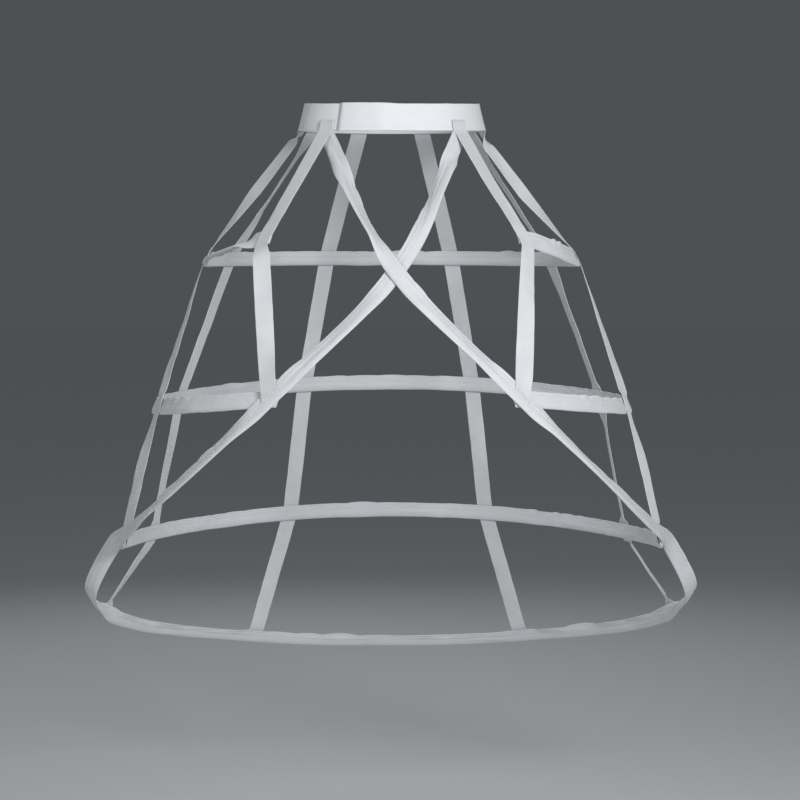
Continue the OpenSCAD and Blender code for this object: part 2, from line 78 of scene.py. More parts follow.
def unsteady(s: Array, seed: int, sizes: Pair, lengths: Pair) -> Array:
    """Four slow waves along a line, one on top of the other.

    Args:
        s: Distance along the line.
        seed: Seed of the random order.
        sizes: Least and greatest height of a wave.
        lengths: Least and greatest length of a wave.

    Returns:
        Height of the waves at each place.
    """
    rng, total = np.random.default_rng(seed), np.zeros_like(s)
    for _ in range(4):
        size, length, start = rng.uniform(*sizes), rng.uniform(*lengths), rng.uniform(0, 6.28)
        total = total + size * np.sin(2 * np.pi * s / length + start)
    return total


def both_edges(from_middle: tuple[Pair, ...]) -> tuple[Array, Array]:
    """Places across a flat section and its half thicknesses, from pairs for one half of it."""
    x, h = np.array(from_middle).T
    return np.concatenate([-x[:0:-1], x]), np.concatenate([h[:0:-1], h])


def flat_part(v: Array, n: Array) -> Array:
    """The part of v that is square to the unit vectors n."""
    return v - n * (v * n).sum(-1, keepdims=True)


def leaning_out(half_w: float, half_d: float, angle: Array, lean: float) -> Array:
    """Outward directions of an oval in plan, tilted up by a lean.

    Args:
        half_w: Half width of the oval.
        half_d: Half depth of the oval.
        angle: Degrees from the front centre towards +X.
        lean: Degrees above the horizon.

    Returns:
        One unit vector for each angle.
    """
    a, k = np.radians(np.asarray(angle, float)), math.radians(lean)
    plan = unit(np.stack([np.sin(a) / half_w, -np.cos(a) / half_d], -1)) * math.cos(k)
    return np.concatenate([plan, np.full(a.shape + (1,), math.sin(k))], -1)


@dataclass
class Path:
    """A line with an outward direction at each point, in millimetres.

    Attributes:
        points: Places along the line, one row each.
        outs: Outward direction at each place.
    """

    points: Array
    outs: Array

    def arc(self) -> Array:
        """Distance of each point from the start."""
        steps = np.linalg.norm(np.diff(self.points, axis=0), axis=1)
        return np.concatenate([[0.0], np.cumsum(steps)])

    def length(self) -> float:
        """Length of the whole line."""
        return float(self.arc()[-1])

    def mirrored(self) -> "Path":
        """The same line on the other side of the middle."""
        return Path(self.points * MIRROR, self.outs * MIRROR)

    def resampled(self, step: float, soften: float) -> "Path":
        """The line in even steps, with its corners rounded and its two ends kept.

        Args:
            step: Distance between points.
            soften: Spread of the rounding.

        Returns:
            The new line.
        """
        arc = self.arc()
        n = max(int(math.ceil(arc[-1] / step)), 8)
        at = np.linspace(0, arc[-1], n + 1)
        both = np.concatenate([self.points, self.outs], 1)
        fine = np.stack([np.interp(at, arc, c) for c in both.T], 1)
        if soften:
            gap, tail = arc[-1] / n, 3 * soften
            reach = int(math.ceil(tail / gap))
            kernel = np.exp(-0.5 * (np.arange(-reach, reach + 1) * gap / soften) ** 2)
            kernel /= kernel.sum()
            before, after = np.repeat(fine[:1], reach, 0), np.repeat(fine[-1:], reach, 0)
            padded = np.concatenate([before, fine, after])
            blurred = np.stack([np.convolve(c, kernel, "valid") for c in padded.T], 1)
            inside = smooth(np.minimum(at, arc[-1] - at) / tail)[:, None]
            fine = fine * (1 - inside) + blurred * inside
        return Path(fine[:, :3], unit(fine[:, 3:]))

    def frames(self) -> tuple[Array, Array, Array]:
        """Directions along the line, outward, and up its height.

        Returns:
            Three unit vectors for each point.
        """
        along = unit(np.gradient(self.points, axis=0))
        out = unit(flat_part(self.outs, along))
        return along, out, np.cross(out, along)

    def rolled(self, degrees: Array) -> "Path":
        """The line with its outward directions turned about its own run.

        Args:
            degrees: How far it turns at each point.

        Returns:
            The new line.
        """
        _, out, up = self.frames()
        a = np.radians(degrees)[:, None]
        return Path(self.points, out * np.cos(a) + up * np.sin(a))

    def moved(self, up: Array | float, out: Array | float) -> Array:
        """Points of a second line, so far up and out from this one."""
        _, n, u = self.frames()
        return self.points + u * np.reshape(up, (-1, 1)) + n * np.reshape(out, (-1, 1))

    def surface(self, up: Array, out: Array, skew: Array | float = 0.0) -> Array:
        """Rings of points across the line.

        Args:
            up: Offset up the height at each ring and place.
            out: Offset outward.
            skew: Offset along the line.

        Returns:
            Rings by places by 3.
        """
        _, n, u = self.frames()
        base, n, u = self.points[:, None], n[:, None], u[:, None]
        if np.any(skew):
            arc = self.arc()
            at = np.clip(arc[:, None] + skew, 0, arc[-1])
            parts = np.concatenate([base, n, u], 2)[:, 0]
            parts = np.stack([np.interp(at, arc, c) for c in parts.T], -1)
            base, n, u = parts[..., :3], unit(parts[..., 3:6]), unit(parts[..., 6:])
        return base + u * up[..., None] + n * out[..., None]

    def loops(self, up: Array, front: Array, back: Array, skew: Array | float = 0.0) -> Array:
        """Rings of points round the line, up a front and down a back surface."""
        return np.concatenate([self.surface(up, front, skew), self.surface(up, back, skew)[:, ::-1]], 1)

    def quiet(self, places: list[Array], still: float, calm: float) -> Array:
        """Share of free movement along the line.

        Args:
            places: Points at which it is sewn.
            still: Distance from such a point within which nothing moves.
            calm: Distance over which movement then grows.

        Returns:
            0 at the sewn points and 1 away from them.
        """
        arc, share = self.arc(), np.ones(len(self.points))
        for place in places:
            share = np.minimum(share, smooth((np.abs(arc - self.nearest_arc(place)) - still) / calm))
        return share

    def nearest_arc(self, point: Array) -> float:
        """Distance along the line to the place nearest a point."""
        return float(self.arc()[np.argmin(np.linalg.norm(self.points - point, axis=1))])


@dataclass(frozen=True)
class Layers:
    """Thicknesses and widths of the sewn layers.

    Attributes:
        tape_w: Width of a tape.
        tape_t: Thickness of a tape.
        casing_w: Width of a casing.
        casing_t: Thickness of a casing over its bone.
        gap: Gap between sewn layers.
        margin: How far a tape stays flat beyond a casing's edge.
    """

    tape_w: float = 25.0
    tape_t: float = 1.0
    casing_w: float = 24.76
    casing_t: float = 4.16
    gap: float = 0.3
    margin: float = 2.0

    @property
    def casing_to_tape(self) -> float:
        """Distance between the middles of a casing and a tape on it."""
        return self.casing_t / 2 + self.gap + self.tape_t / 2

    @property
    def casing_to_casing(self) -> float:
        """Distance between the middles of two crossing casings."""
        return self.casing_t + 2 * self.gap


@dataclass(frozen=True)
class Waist:
    """Oval of the lapped waistband, with the angles of its lap.

    Attributes:
        half_w: Half width of the oval.
        half_d: Half depth of the oval.
        height: Height of the band.
        thickness: Thickness of one layer.
        flare: How much further out its lower edge is than its middle.
        dip: How much lower its front is.
        lap_lift: Distance from the inner to the outer layer of the lap.
        lap_edge: Angle at which the outer layer ends, in degrees.
        lap_inner: Angle at which the inner layer ends.
        lap_blend: Angle at which the outer layer is back on the oval.
        edge_drop: How far the outer layer bends in at its end.
        edge_run: Degrees over which it bends in.
    """

    half_w: float = 134.9
    half_d: float = 104.9
    height: float = 41.0
    thickness: float = 1.8
    flare: float = 5.0
    dip: float = 5.0
    lap_lift: float = 5.1
    lap_edge: float = -35.33
    lap_inner: float = -7.98
    lap_blend: float = 4.81
    edge_drop: float = 3.0
    edge_run: float = 2.7

    def point(self, angle: Array, v: float) -> Array:
        """Places on the middle of the band's thickness.

        Args:
            angle: Degrees from the front centre towards +X.
            v: -1 at the lower and 1 at the upper edge.

        Returns:
            One place for each angle.
        """
        a, grow = np.radians(np.asarray(angle, float)), -v * self.flare
        x, y = (self.half_w + grow) * np.sin(a), -(self.half_d + grow) * np.cos(a)
        return np.stack([x, y, v * self.height / 2 - self.dip * np.maximum(np.cos(a), 0)], -1)

    def out(self, angle: Array) -> Array:
        """Outward directions of the band."""
        lean = math.degrees(math.atan(self.flare / (self.height / 2)))
        return leaning_out(self.half_w, self.half_d, angle, lean)

    def path(self) -> Path:
        """The band from the end of its outer layer, once round, to its inner end.

        Returns:
            The line.
        """
        a = np.arange(self.lap_edge, self.lap_inner + 360.01, 0.5)
        rise = self.lap_lift * smooth((self.lap_blend - a) / (self.lap_blend - self.lap_inner))
        rise -= self.edge_drop * smooth(1 - (a - self.lap_edge) / self.edge_run)
        return Path(self.point(a, 0) + self.out(a) * rise[:, None], self.out(a))

    def lap_path(self, rise: float, share: float) -> Path:
        """A line inside the lap.

        Args:
            rise: Distance outward from the middle of the inner layer.
            share: Share of the lap that the line covers.

        Returns:
            The line.
        """
        middle = (self.lap_edge + self.lap_inner) / 2
        half = (self.lap_inner - self.lap_edge) / 2 * share
        a = np.linspace(middle - half, middle + half, 25)
        return Path(self.point(a, 0) + self.out(a) * rise, self.out(a))


@dataclass(frozen=True)
class Hoop:
    """One hoop, open at the front.

    Attributes:
        half_w: Half width of its oval.
        half_d: Half depth of its oval.
        drop: How far its lowest place is below the waist.
        front_rise: How much higher its ends are.
        back_rise: How much higher its back is.
        end: Angle of its ends, in degrees from the front centre.
        lean: Degrees that its outside faces up.
        low: Angle of its lowest place.
    """

    half_w: float
    half_d: float
    drop: float
    front_rise: float
    back_rise: float
    end: float
    lean: float
    low: float = 90.0

    def point(self, angle: Array) -> Array:
        """Places on the middle of the casing.

        Args:
            angle: Degrees from the front centre towards +X.

        Returns:
            One place for each angle.
        """
        a, low = np.radians(np.asarray(angle, float)), math.cos(math.radians(self.low))
        facing = np.cos(a) - low
        front = self.front_rise * (facing / (math.cos(math.radians(self.end)) - low)) ** 2
        rise = np.where(facing > 0, front, self.back_rise * (facing / (1 + low)) ** 2)
        return np.stack([self.half_w * np.sin(a), -self.half_d * np.cos(a), rise - self.drop], -1)

    def out(self, angle: Array) -> Array:
        """Outward directions of the casing."""
        return leaning_out(self.half_w, self.half_d, angle, self.lean)

    def place(self, angle: float) -> Place:
        """A sewn place on the casing.

        Args:
            angle: Degrees from the front centre towards +X.

        Returns:
            Its middle, its outward direction square to the run, and its upward direction.
        """
        run = unit(self.point(angle + 0.5) - self.point(angle - 0.5))
        out = unit(flat_part(self.out(angle), run))
        return self.point(angle), out, np.cross(out, run)

    def path(self, reach: float) -> Path:
        """The hoop from its right end, round the back, to its left end.

        Args:
            reach: How far each end runs on past its end angle.

        Returns:
            The line.
        """
        per_degree = np.linalg.norm(self.point(self.end + 0.5) - self.point(self.end - 0.5))
        first = self.end - reach / per_degree
        a = np.linspace(first, 360 - first, 721)
        return Path(self.point(a), self.out(a))


HOOP_1 = Hoop(275.0, 248.0, 212.0, front_rise=30.0, back_rise=2.0, end=43.5, lean=26.81)
HOOP_2 = Hoop(355.0, 320.0, 430.0, front_rise=22.0, back_rise=20.0, end=29.5, lean=16.57)
HOOP_3 = Hoop(403.0, 365.0, 638.0, front_rise=11.0, back_rise=18.0, end=80.0, lean=12.99, low=100.0)


@dataclass(frozen=True)
class HemLine:
    """The long bone: from the waist, over the front crossing, round the hem and back up.

    Attributes:
        waist: The band that it starts and ends on.
        layers: Sizes of the sewn layers.
        front_angle: Angle of its ends on the band, in degrees.
        end_h: Height of its ends above the band's lower edge.
        cross_d: How far the crossing is in front of the waist's middle.
        cross_drop: How far the crossing is below the waist.
        half_w: Half width of the hem.
        wrap: How much it heads to the back at the lower hoop.
        over_end: How far above the middle of the lower hoop it passes.
        run_on: How far it runs straight on from there.
        side_d: How far its widest place is behind the waist's middle.
        side_drop: How far its widest place is below the waist.
        rear_drop: The same at the rear side tape.
        back_tape_drop: The same at the back tape.
        back_d: How far its back is behind the waist's middle.
        back_drop: How far its back is below the waist.
        rear_angle: Angle of the rear side tape.
        back_angle: Angle of the back tape.
        lean: Degrees that its outside faces up.
        step: Usual distance between its points.
        REAR_STOP: Its stop at the right rear side tape.
        BACK_STOP: Its stop at the right back tape.
        SEWN_STOPS: The stops at which it is sewn.
    """

    REAR_STOP: ClassVar[int] = 6
    BACK_STOP: ClassVar[int] = 7
    SEWN_STOPS: ClassVar[tuple[int, ...]] = (0, 1, 2, 3, 6, 7, 9, 10, 13, 14, 15, 16)

    waist: Waist
    layers: Layers
    front_angle: float = 44.0
    end_h: float = 15.0
    cross_d: float = 250.0
    cross_drop: float = 229.0
    half_w: float = 459.0
    wrap: float = 4.0
    over_end: float = 5.0
    run_on: float = 60.0
    side_d: float = 60.0
    side_drop: float = 718.0
    rear_drop: float = 764.0
    back_tape_drop: float = 828.0
    back_d: float = 405.0
    back_drop: float = 841.0
    rear_angle: float = 107.0
    back_angle: float = 151.5
    lean: float = 34.99
    step: float = 4.0

    @property
    def lift(self) -> float:
        """Distance between the middles of the band and of the casing on it."""
        return self.waist.thickness / 2 + self.layers.gap + self.layers.casing_t / 2

    def ring(self, angle: float, drop: float) -> Array:
        """A place on the hem's back half."""
        a, half_d = math.radians(angle), self.back_d - self.side_d
        return np.array([self.half_w * math.sin(a), self.side_d - half_d * math.cos(a), -drop])

    def out(self, angle: float) -> Array:
        """Outward direction on the hem's back half."""
        return leaning_out(self.half_w, self.back_d - self.side_d, angle, self.lean)

    @staticmethod
    def chord_run(before: Array, here: Array, after: Array) -> Array:
        """Run of a smooth curve through a place, from its two neighbours."""
        a, b = np.linalg.norm(here - before), np.linalg.norm(after - here)
        return ((after - here) / b * a + (here - before) / a * b) / (a + b)

    def stops(self) -> list[tuple[Array, Array, Array | None]]:
        """Places on the whole line, from the left of the waist to its right.

        Returns:
            For each its middle, its outward direction, and a set run where it has one.
        """
        w, y = self.waist, self.layers
        out0 = w.out(self.front_angle)
        start = w.point(self.front_angle, -1 - 2 * y.margin / w.height) + out0 * self.lift
        p2, n2, _ = HOOP_2.place(HOOP_2.end)
        p3, n3, u3 = HOOP_3.place(HOOP_3.end)
        at2 = p2 + n2 * y.casing_to_casing
        at3 = p3 + n3 * (y.casing_to_casing + y.gap) + u3 * self.over_end
        cross = np.array([0.0, -self.cross_d, -self.cross_drop])
        run2 = self.chord_run(cross, at2, at3)
        run2 = unit(np.array([run2[0], -(run2[0] * n2[0] + run2[2] * n2[2]) / n2[1], run2[2]]))
        run3 = unit((at3 - at2) * np.array([1.0, self.wrap, 1.0]))
        over = self.chord_run(start * MIRROR, cross, at2)
        cross_out = unit(np.array([0.0, over[2], -over[1]]))
        right = [
            (at2, n2, run2),
            (at3, n3, run3),
            (at3 + run3 * self.run_on, unit(n3 + self.out(90)), None),
            (self.ring(90, self.side_drop), self.out(90), None),
            (self.ring(self.rear_angle, self.rear_drop), self.out(self.rear_angle), None),
            (self.ring(self.back_angle, self.back_tape_drop), self.out(self.back_angle), None),
        ]
        left = [
            (p * MIRROR, n * MIRROR, None if run is None else -run * MIRROR) for p, n, run in reversed(right)
        ]
        apart = cross_out * y.casing_to_casing / 2
        return [
            (start * MIRROR, out0 * MIRROR, None),
            (cross + apart, cross_out, None),
            *right,
            (self.ring(180, self.back_drop), self.out(180), None),
            *left,
            (cross - apart, cross_out, None),
            (start, out0, None),
        ]

    def run(self, stops: list, i: int) -> Array:
        """Run of the line at one stop.

        Args:
            stops: All stops of the line.
            i: Which stop.

        Returns:
            The direction in which the line goes on.
        """
        if i == 0 or i == len(stops) - 1:
            a, b = (0, 1) if i == 0 else (i - 1, i)
            return unit(stops[b][0] - stops[a][0])
        if stops[i][2] is not None:
            return stops[i][2]
        return self.chord_run(stops[i - 1][0], stops[i][0], stops[i + 1][0])

    def path(self) -> Path:
        """The casing's line, with its two upright ends on the waistband.

        Returns:
            The line.
        """
        stops, points, outs = self.stops(), [], []
        for i in range(len(stops) - 1):
            a, b = stops[i], stops[i + 1]
            chord = np.linalg.norm(b[0] - a[0])
            t = np.arange(0, 1, 1 / math.ceil(chord / self.step))[:, None]
            s = 1 - t
            leave, arrive = self.run(stops, i) * chord, self.run(stops, i + 1) * chord
            first = a[0] * (1 + 2 * t) * s * s + leave * t * s * s
            points.append(first + b[0] * t * t * (3 - 2 * t) - arrive * t * t * s)
            outs.append(a[1] + (b[1] - a[1]) * smooth(t))
        out = self.waist.out(self.front_angle)
        end = self.waist.point(self.front_angle, 2 * self.end_h / self.waist.height - 1) + out * self.lift
        return Path(
            np.vstack([end * MIRROR, *points, stops[-1][0], end]),
            np.vstack([out * MIRROR, *outs, stops[-1][1], out]),
        )

    def place(self, i: int, turn: float = 0.0) -> Place:
        """A sewn place on the casing.

        Args:
            i: Which stop.
            turn: Degrees that the casing turns about its run there.

        Returns:
            Its middle, its outward and its upward direction.
        """
        stops = self.stops()
        run = unit(self.run(stops, i))
        out = unit(flat_part(stops[i][1], run))
        out = out * math.cos(math.radians(turn)) + np.cross(out, run) * math.sin(math.radians(turn))
        return stops[i][0], out, np.cross(out, run)


@dataclass(frozen=True)
class SpanShape:
    """How a tape hangs between two sewn places.

    Attributes:
        bow: Millimetres that it stands out at its peak.
        sway: Millimetres that it leans along its width at its peak.
        roll: Degrees that it turns about its own run at its peak.
        peak: Where the peak starts, from 0 at the upper to 1 at the lower end.
        hold: Where the peak ends.
        taper: True where it falls evenly after the peak.
        ramp: True where it rises evenly to the peak.
    """

    bow: float = 0.0
    sway: float = 0.0
    roll: float = 0.0
    peak: float = 0.5
    hold: float = 0.5
    taper: bool = False
    ramp: bool = False

    def weight(self, t: Array) -> Array:
        """Share of the peak along the span.

        Args:
            t: Place on the span, from 0 at its upper to 1 at its lower end.

        Returns:
            One share for each place.
        """
        rise = np.clip(t / self.peak, 0, 1)
        fall = np.clip((1 - t) / (1 - max(self.hold, self.peak)), 0, 1)
        return np.minimum(rise if self.ramp else smooth(rise), fall if self.taper else smooth(fall))


class Side(Enum):
    """Side of the cage as seen from the front."""

    LEFT = "left"
    RIGHT = "right"

    @property
    def flip(self) -> Array:
        """What turns a place on the right into one on this side."""
        return MIRROR if self is Side.LEFT else np.ones(3)


class TapeSort(Enum):
    """The four pairs of tapes, from the front to the back."""

    FRONT = "front"
    SIDE = "side"
    REAR_SIDE = "rear_side"
    BACK = "back"


# Angles of each sort of tape on the band and then on each hoop, from the waist down, in degrees.
TAPE_ANGLES: dict[TapeSort, tuple[float, ...]] = {
    TapeSort.FRONT: (44.0, HOOP_1.end, HOOP_2.end),
    TapeSort.SIDE: (106.0, 90.0, 74.0, HOOP_3.end),
    TapeSort.REAR_SIDE: (123.0, 119.0, 115.0, 115.0),
    TapeSort.BACK: (160.0, 159.5, 158.0, 157.0),
}


@dataclass
class TapeRoute:
    """Sewn places of one tape and the line through them.

    Attributes:
        waist: The band that it hangs from.
        layers: Sizes of the sewn layers.
        angle: Angle of its upper end on the band, in degrees.
        places: Where it is sewn to casings, from the waist down.
        start_lift: Distance of its upper end from the middle of the band.
        end_lift: Distance of its lower end from the middle of the last casing.
        end_h: Height of its upper end above the band's lower edge.
        tail: How far it runs below the middle of the last casing.
        head: How far above that middle it comes to lie on the casing.
        slip: How far it is moved along the first casing: above, on and below it.
        bend: Spread of the rounding where it leaves a casing.
    """

    waist: Waist
    layers: Layers
    angle: float
    places: list[Place]
    start_lift: float
    end_lift: float
    end_h: float = 16.0
    tail: float = 12.38
    head: float = 14.38
    slip: tuple[float, float, float] = (0.0, 0.0, 0.0)
    bend: float = 4.0

    def edge(self, place: Place, target: Array, lift: float, reach: float) -> tuple[Array, Array]:
        """Where the tape leaves a casing.

        Args:
            place: Where it is sewn to the casing.
            target: The next place.
            lift: Its distance from the middle of the casing.
            reach: How far up or down the casing it leaves it.

        Returns:
            The point and its outward direction.
        """
        toward = unit(flat_part(target - place[0], place[1]))
        run = reach / abs(float(toward @ place[2]))
        return place[0] + place[1] * lift + toward * run, place[1]

    def groups(self) -> list[list[tuple[Array, Array]]]:
        """Points of each sewn place, from the waist down.

        Returns:
            A list for each place, of points with their outward directions.
        """
        w, y = self.waist, self.layers
        out, heights = w.out(self.angle), (2 * self.end_h / w.height - 1, -1.0)
        made = [[(w.point(self.angle, v) + out * self.start_lift, out) for v in heights]]
        before, reach = w.point(self.angle, -1), y.casing_w / 2 + y.margin
        for k, place in enumerate(self.places):
            last = k == len(self.places) - 1
            lift = self.end_lift if last else y.casing_to_tape
            after = 2 * place[0] - before if last else self.places[k + 1][0]
            made.append(
                [
                    self.edge(place, before, lift, self.head if last else reach),
                    (place[0] + place[1] * lift, place[1]),
                    self.edge(place, after, lift, self.tail if last else reach),
                ]
            )
            if k == 0:
                run = np.cross(place[2], place[1])
                made[-1] = [(p - run * by, n) for (p, n), by in zip(made[-1], self.slip)]
            before = place[0]
        return made

    def path(self, shapes: list[SpanShape], step: float) -> Path:
        """The tape's line, rounded over the casings and hung between them.

        Args:
            shapes: One for each free span.
            step: Distance between points.

        Returns:
            The line.
        """
        groups = self.groups()
        points, outs = zip(*(pair for group in groups for pair in group))
        line = Path(np.array(points), np.array(outs)).resampled(step, self.bend)
        arc = line.arc()
        out_by, up_by, roll = np.zeros_like(arc), np.zeros_like(arc), np.zeros_like(arc)
        for shape, a, b in zip(shapes, groups[:-1], groups[1:]):
            s0, s1 = line.nearest_arc(a[-1][0]), line.nearest_arc(b[0][0])
            w = np.where((arc > s0) & (arc < s1), shape.weight((arc - s0) / (s1 - s0)), 0.0)
            out_by, up_by, roll = out_by + shape.bow * w, up_by + shape.sway * w, roll + shape.roll * w
        return Path(line.moved(up_by, out_by), line.outs).rolled(roll)


class Finish(Enum):
    """Surface of each sort of piece."""

    BAND = "band"
    TAPE = "tape"
    CASING = "casing"
    THREAD = "thread"
    LOOP = "loop"
    HOOK = "hook"
    BONE = "bone"
    TIP = "tip"


class Weave(Enum):
    """How a cloth is woven; the value is the share of slanting ribs."""

    PLAIN = 0.0
    TWILL = 1.0


@dataclass(frozen=True)
class ClothLook:
    """A woven finish.

    Attributes:
        light: Colour of the raised threads, painted lighter as light on them, and the light end of the slow
            random tone.
        shade: Colour between the threads, painted darker as shade in the gaps, and the dark end of the slow
            random tone.
        pitch: Distance between threads, in metres.
        weave: How it is woven.
        rough: Lowest and highest roughness.
        bump: Depth of the weave, in metres.
        sheen: Weight of the soft sheen.
    """

    light: tuple[float, float, float]
    shade: tuple[float, float, float]
    pitch: float
    weave: Weave
    rough: Pair
    bump: float
    sheen: float


@dataclass(frozen=True)
class PlasticLook:
    """A moulded finish.

    Attributes:
        colour: Its colour.
        rough: Its roughness.
        grain: Depth of its fine grain, in metres.
    """

    colour: tuple[float, float, float]
    rough: float
    grain: float


# Light and shade colours of cloth: painted light on raised threads, painted shade between them, and the two
# ends of a slow random tone.
LOOKS: dict[Finish, ClothLook | PlasticLook] = {
    Finish.BAND: ClothLook(
        (0.83, 0.845, 0.875), (0.71, 0.725, 0.76), 0.0011, Weave.PLAIN, (0.5, 0.66), bump=0.00012, sheen=0.25
    ),
    Finish.TAPE: ClothLook(
        (0.76, 0.775, 0.80), (0.60, 0.615, 0.645), 0.0016, Weave.TWILL, (0.66, 0.82), bump=0.00022, sheen=0.3
    ),
    Finish.CASING: ClothLook(
        (0.74, 0.755, 0.785), (0.60, 0.615, 0.65), 0.0012, Weave.PLAIN, (0.6, 0.78), bump=0.00014, sheen=0.3
    ),
    Finish.THREAD: ClothLook(
        (0.80, 0.81, 0.83), (0.66, 0.67, 0.69), 0.0004, Weave.TWILL, (0.5, 0.6), bump=0.00005, sheen=0.2
    ),
    Finish.LOOP: ClothLook(
        (0.80, 0.805, 0.815), (0.68, 0.685, 0.70), 0.0009, Weave.PLAIN, (0.8, 0.9), bump=0.0002, sheen=0.5
    ),
    Finish.HOOK: ClothLook(
        (0.72, 0.73, 0.74), (0.60, 0.61, 0.62), 0.0009, Weave.PLAIN, (0.45, 0.6), bump=0.0002, sheen=0.1
    ),
    Finish.BONE: PlasticLook(colour=(0.72, 0.73, 0.74), rough=0.48, grain=0.00006),
    Finish.TIP: PlasticLook(colour=(0.60, 0.61, 0.63), rough=0.42, grain=0.00004),
}


def placed(name: str, data: object) -> Object:
    """Puts a new object in the scene, at the origin.

    Args:
        name: Its name.
        data: Its mesh, light or camera.

    Returns:
        The object.
    """
    made = bpy.data.objects.new(name, data)
    bpy.context.scene.collection.objects.link(made)
    return made


def fill(tree: NodeTree, node: Node, inputs: dict) -> None:
    """Fills the inputs of a node.

    Args:
        tree: The tree that the node is in.
        node: The node.
        inputs: A value or the socket of another node, by name or number of the input.
    """
    for key, value in inputs.items():
        if isinstance(value, NodeSocket):
            tree.links.new(value, node.inputs[key])
        else:
            node.inputs[key].default_value = value


def add_node(tree: NodeTree, kind: str, inputs: dict | None = None, **settings: object) -> Node:
    """Adds a node to a tree.

    Args:
        tree: The tree.
        kind: Type of the node.
        inputs: What its inputs are filled with.
        settings: Its own settings.

    Returns:
        The node.
    """
    node = tree.nodes.new(kind)
    for key, value in settings.items():
        setattr(node, key, value)
    fill(tree, node, inputs or {})
    return node


def new_tree(
    name: str, family: str, inputs: dict[str, str], outputs: dict[str, str]
) -> tuple[NodeTree, Node, Node]:
    """A node group with named sockets.

    Args:
        name: Name of the group.
        family: Shader or Geometry.
        inputs: Kind of each input, by name.
        outputs: Kind of each output, by name.

    Returns:
        The group, its input node and its output node.
    """
    tree = bpy.data.node_groups.new(name, f"{family}NodeTree")
    for way, sockets in (("INPUT", inputs), ("OUTPUT", outputs)):
        for label, kind in sockets.items():
            tree.interface.new_socket(label, in_out=way, socket_type=f"NodeSocket{kind}")
    return tree, tree.nodes.new("NodeGroupInput"), tree.nodes.new("NodeGroupOutput")


